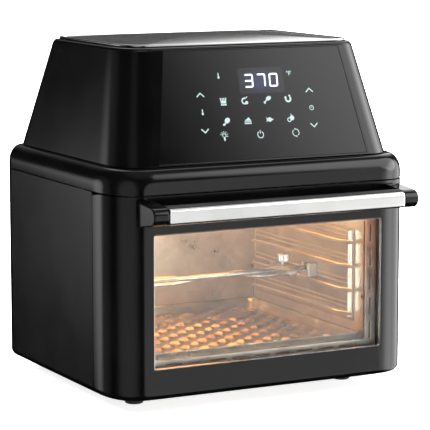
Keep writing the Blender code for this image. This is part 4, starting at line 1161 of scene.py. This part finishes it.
# ---- fixings ----
def screw_head(name, place_at, axis, look="plated"):
    """Pan head with a cross recess."""
    profile = ((0.2, 0), (3.2, 0), (3.2, 0.5), (2.7, 1.3), (1.6, 1.8), (0.2, 1.9))
    head = turned([(r * MM, h * MM - 0.5 * MM) for r, h in profile], steps=28)
    long, half, low, high = 1.9 * MM, 0.45 * MM, 0.5 * MM, 3 * MM
    bars = [block((-x, -y, low), (x, y, high)) for x, y in ((long, half), (half, long))]
    piece(name, moved(carve(head, *bars), along(axis, place_at)), "root", look, smooth=40)


def fixings():
    """Screws of the rear cover and the base pan, and the flanges that the cover is fixed to."""
    cover_low, cover_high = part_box("rear_cover")
    pan_low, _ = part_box("base_pan")
    for side, sign in SIDES:
        inner, outer = sorted((sign * 143 * MM, sign * 153 * MM))
        strip = block((inner, cover_low.y - 1.6 * MM, cover_low.z + 4 * MM),
                      (outer, cover_low.y - 0.2 * MM, cover_high.z - 4 * MM))
        piece("rear_flange_" + side, soften(strip, 0.4 * MM), "root", "black_satin")
    for index, (x, z) in enumerate(((-138, 30), (138, 30), (-138, 236), (138, 236))):
        screw_head("cover_screw_{}".format(index),
                   (x * MM, cover_high.y - 1.45 * MM, z * MM), "Y", "black_satin")
    for index, (x, y) in enumerate(((-150, -20), (150, -20), (-150, 110), (150, 110))):
        screw_head("pan_screw_{}".format(index), (x * MM, y * MM, pan_low.z + 0.1 * MM), "-Z")


# ---- CAD nodes that stay ----
NODE_LOOKS = {"motor_shaft": "polished", "spit_rest": "plated", "fan_motor": "plated",
              "rotisserie_motor": "plated", "fan_guard": "plated", "front_frame": "face_steel",
              "convection_fan": "plated"}


def dress_cad_nodes():
    """Looks and softened edges for the CAD nodes that are still shown."""
    for name, thing in NODES.items():
        if thing.hide_render:
            continue
        base = thing.material_slots[0].material.name.split(".")[0]
        for slot in thing.material_slots:
            slot.material = LOOKS[NODE_LOOKS.get(name, base)]
        thing.modifiers.new("weld", "WELD").merge_threshold = 0.01 * MM
        rounding = thing.modifiers.new("edges", "BEVEL")
        rounding.width = min(0.35 * MM, 0.2 * min(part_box(name)[1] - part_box(name)[0]))
        rounding.segments = 2
        rounding.limit_method = "ANGLE"
        rounding.angle_limit = math.radians(40)


# ---- room ----
def heading(degrees, elevation):
    """A direction by its bearing from the back, clockwise from above, and its elevation."""
    turn, rise = math.radians(degrees), math.radians(elevation)
    return (math.sin(turn) * math.cos(rise), math.cos(turn) * math.cos(rise), math.sin(rise))


# Soft boxes as (bearing, elevation, inner and outer radius in degrees, strength), each for a
# reflection that the photograph shows.
SOFT_BOXES = (
    (-34, -4, 2, 13, 1.1),            # highlight where the left side turns into its corner
    (-44, -4, 5, 26, 0.14),           # faint sheen round that highlight
    (232, -6, 12, 48, 0.42),          # dim light on the middle of that corner
    (146, -12, 25, 32, 0.85),         # the door's flat front
    (118, 27, 22.7, 30.2, 2.8),       # control panel, from dark to grey
    (104, -8, 24, 44, 2.9),           # the door's right cheek
    (32, 46, 14, 32, 1.5),            # rounded edges that face up
    (35, 17, 3, 9, 1.7),              # bright patch of the top plate
    (30, 40, 15, 45, 0.16),           # wide sheen of the faces that tilt back
    (150, 75, 20, 45, 0.15))          # faint light from above the front
UNLIT = 0.004                         # strength of the room between the boxes


def studio():
    """A dark room of soft boxes for light and reflections, and a white one for the camera."""
    world = bpy.data.worlds.new("studio")
    bpy.context.scene.world = world
    world.use_nodes = True
    tree = world.node_tree
    tree.nodes.clear()
    direction = node(tree, "TexCoord").outputs["Generated"]
    total = UNLIT
    for bearing, elevation, inner, outer, strength in SOFT_BOXES:
        towards = node(tree, "VectorMath", {0: direction, 1: heading(bearing, elevation)},
                       operation="DOT_PRODUCT").outputs["Value"]
        lit = node(tree, "MapRange", {"Value": towards, "From Min": math.cos(math.radians(outer)),
                                      "From Max": math.cos(math.radians(inner)), "To Min": 0.0,
                                      "To Max": strength},
                   interpolation_type="SMOOTHSTEP").outputs["Result"]
        total = node(tree, "Math", {0: total, 1: lit}, operation="ADD").outputs["Value"]
    surroundings = node(tree, "Background", {"Color": (1, 1, 1, 1), "Strength": total})
    backdrop = node(tree, "Background", {"Color": (1, 1, 1, 1), "Strength": 1.0})
    seen = node(tree, "LightPath").outputs["Is Camera Ray"]
    mix = node(tree, "MixShader", {0: seen, 1: surroundings.outputs[0], 2: backdrop.outputs[0]})
    output = node(tree, "OutputWorld")
    tree.links.new(mix.outputs[0], output.inputs["Surface"])


def floor():
    """A large pale floor that reflections leave out."""
    outline = rounded((30.0, -30.0, 30.0, 6.0, 6.0), 12)
    bm = bmesh.new()
    bm.faces.new([bm.verts.new((x, y, 0)) for x, y in outline])
    ground = bpy.data.objects.new("floor", to_mesh(bm))
    ground.data.materials.append(floor_look())
    bpy.context.scene.collection.objects.link(ground)
    ground.visible_glossy = False


def area_light(name, where, target, size, power, colour=(1, 1, 1), glossy=True):
    """A rectangular light that the camera doesn't see."""
    data = bpy.data.lights.new(name, "AREA")
    data.shape = "RECTANGLE"
    data.size, data.size_y = size
    data.energy = power
    data.color = colour
    light = bpy.data.objects.new(name, data)
    bpy.context.scene.collection.objects.link(light)
    light.location = where
    light.rotation_euler = (Vector(target) - Vector(where)).to_track_quat("-Z", "Y").to_euler()
    light.visible_glossy = glossy
    light.visible_camera = False


def lights():
    """One large light over the floor, and warm light inside the cooking space."""
    area_light("overhead", (0, 2.0, 5.0), (0, 2.0, 0), (14.0, 14.0), 4200, glossy=False)
    guard, _, (_, fan_y, _) = box_of("fan_guard")
    area_light("heater_glow", (0, fan_y, guard.z - 1 * MM), (0, fan_y, 0), (0.17, 0.17), 0.40,
               (1.0, 0.40, 0.10))
    _, lens, (_, lens_y, lens_z) = box_of("lamp_lens")
    area_light("oven_lamp", (lens.x + 3 * MM, lens_y, lens_z), (0.1, -0.02, 0.08), (0.03, 0.03),
               0.52, (1.0, 0.72, 0.30))
    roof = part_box("cavity_roof")[0]
    area_light("cavity_fill", (0.0, roof.y + 14 * MM, roof.z - 9 * MM), (0, 0.08, 0.06),
               (0.22, 0.015), 0.20, (1.0, 0.80, 0.40))


EYE, AIM = (-1.1704, -2.2356, 0.5624), (0.0119, 0.0145, 0.1933)
LENS = 181.7


def camera():
    """The viewing position, and a long lens aimed at the object."""
    data = bpy.data.cameras.new("camera")
    data.lens = LENS
    data.sensor_width = 36.0
    data.clip_start = 0.05
    data.clip_end = 200.0
    eye = bpy.data.objects.new("camera", data)
    bpy.context.scene.collection.objects.link(eye)
    eye.location = EYE
    eye.rotation_euler = (Vector(AIM) - Vector(EYE)).to_track_quat("-Z", "Y").to_euler()
    bpy.context.scene.camera = eye


# ---- everything ----
def build():
    """Every piece, then the room."""
    for make in (side_panels, door_frame, shoulder, feet, crown, top_cover, control_panel,
                 display, window_trim, gasket, door_liner, panes, handle_bar, handle_core,
                 handle_caps, rack_ladders, drip_tray, heater, lamp, rotisserie, fixings,
                 dress_cad_nodes, floor, studio, lights, camera):
        make()
    bpy.context.scene.view_settings.view_transform = "Standard"


build()
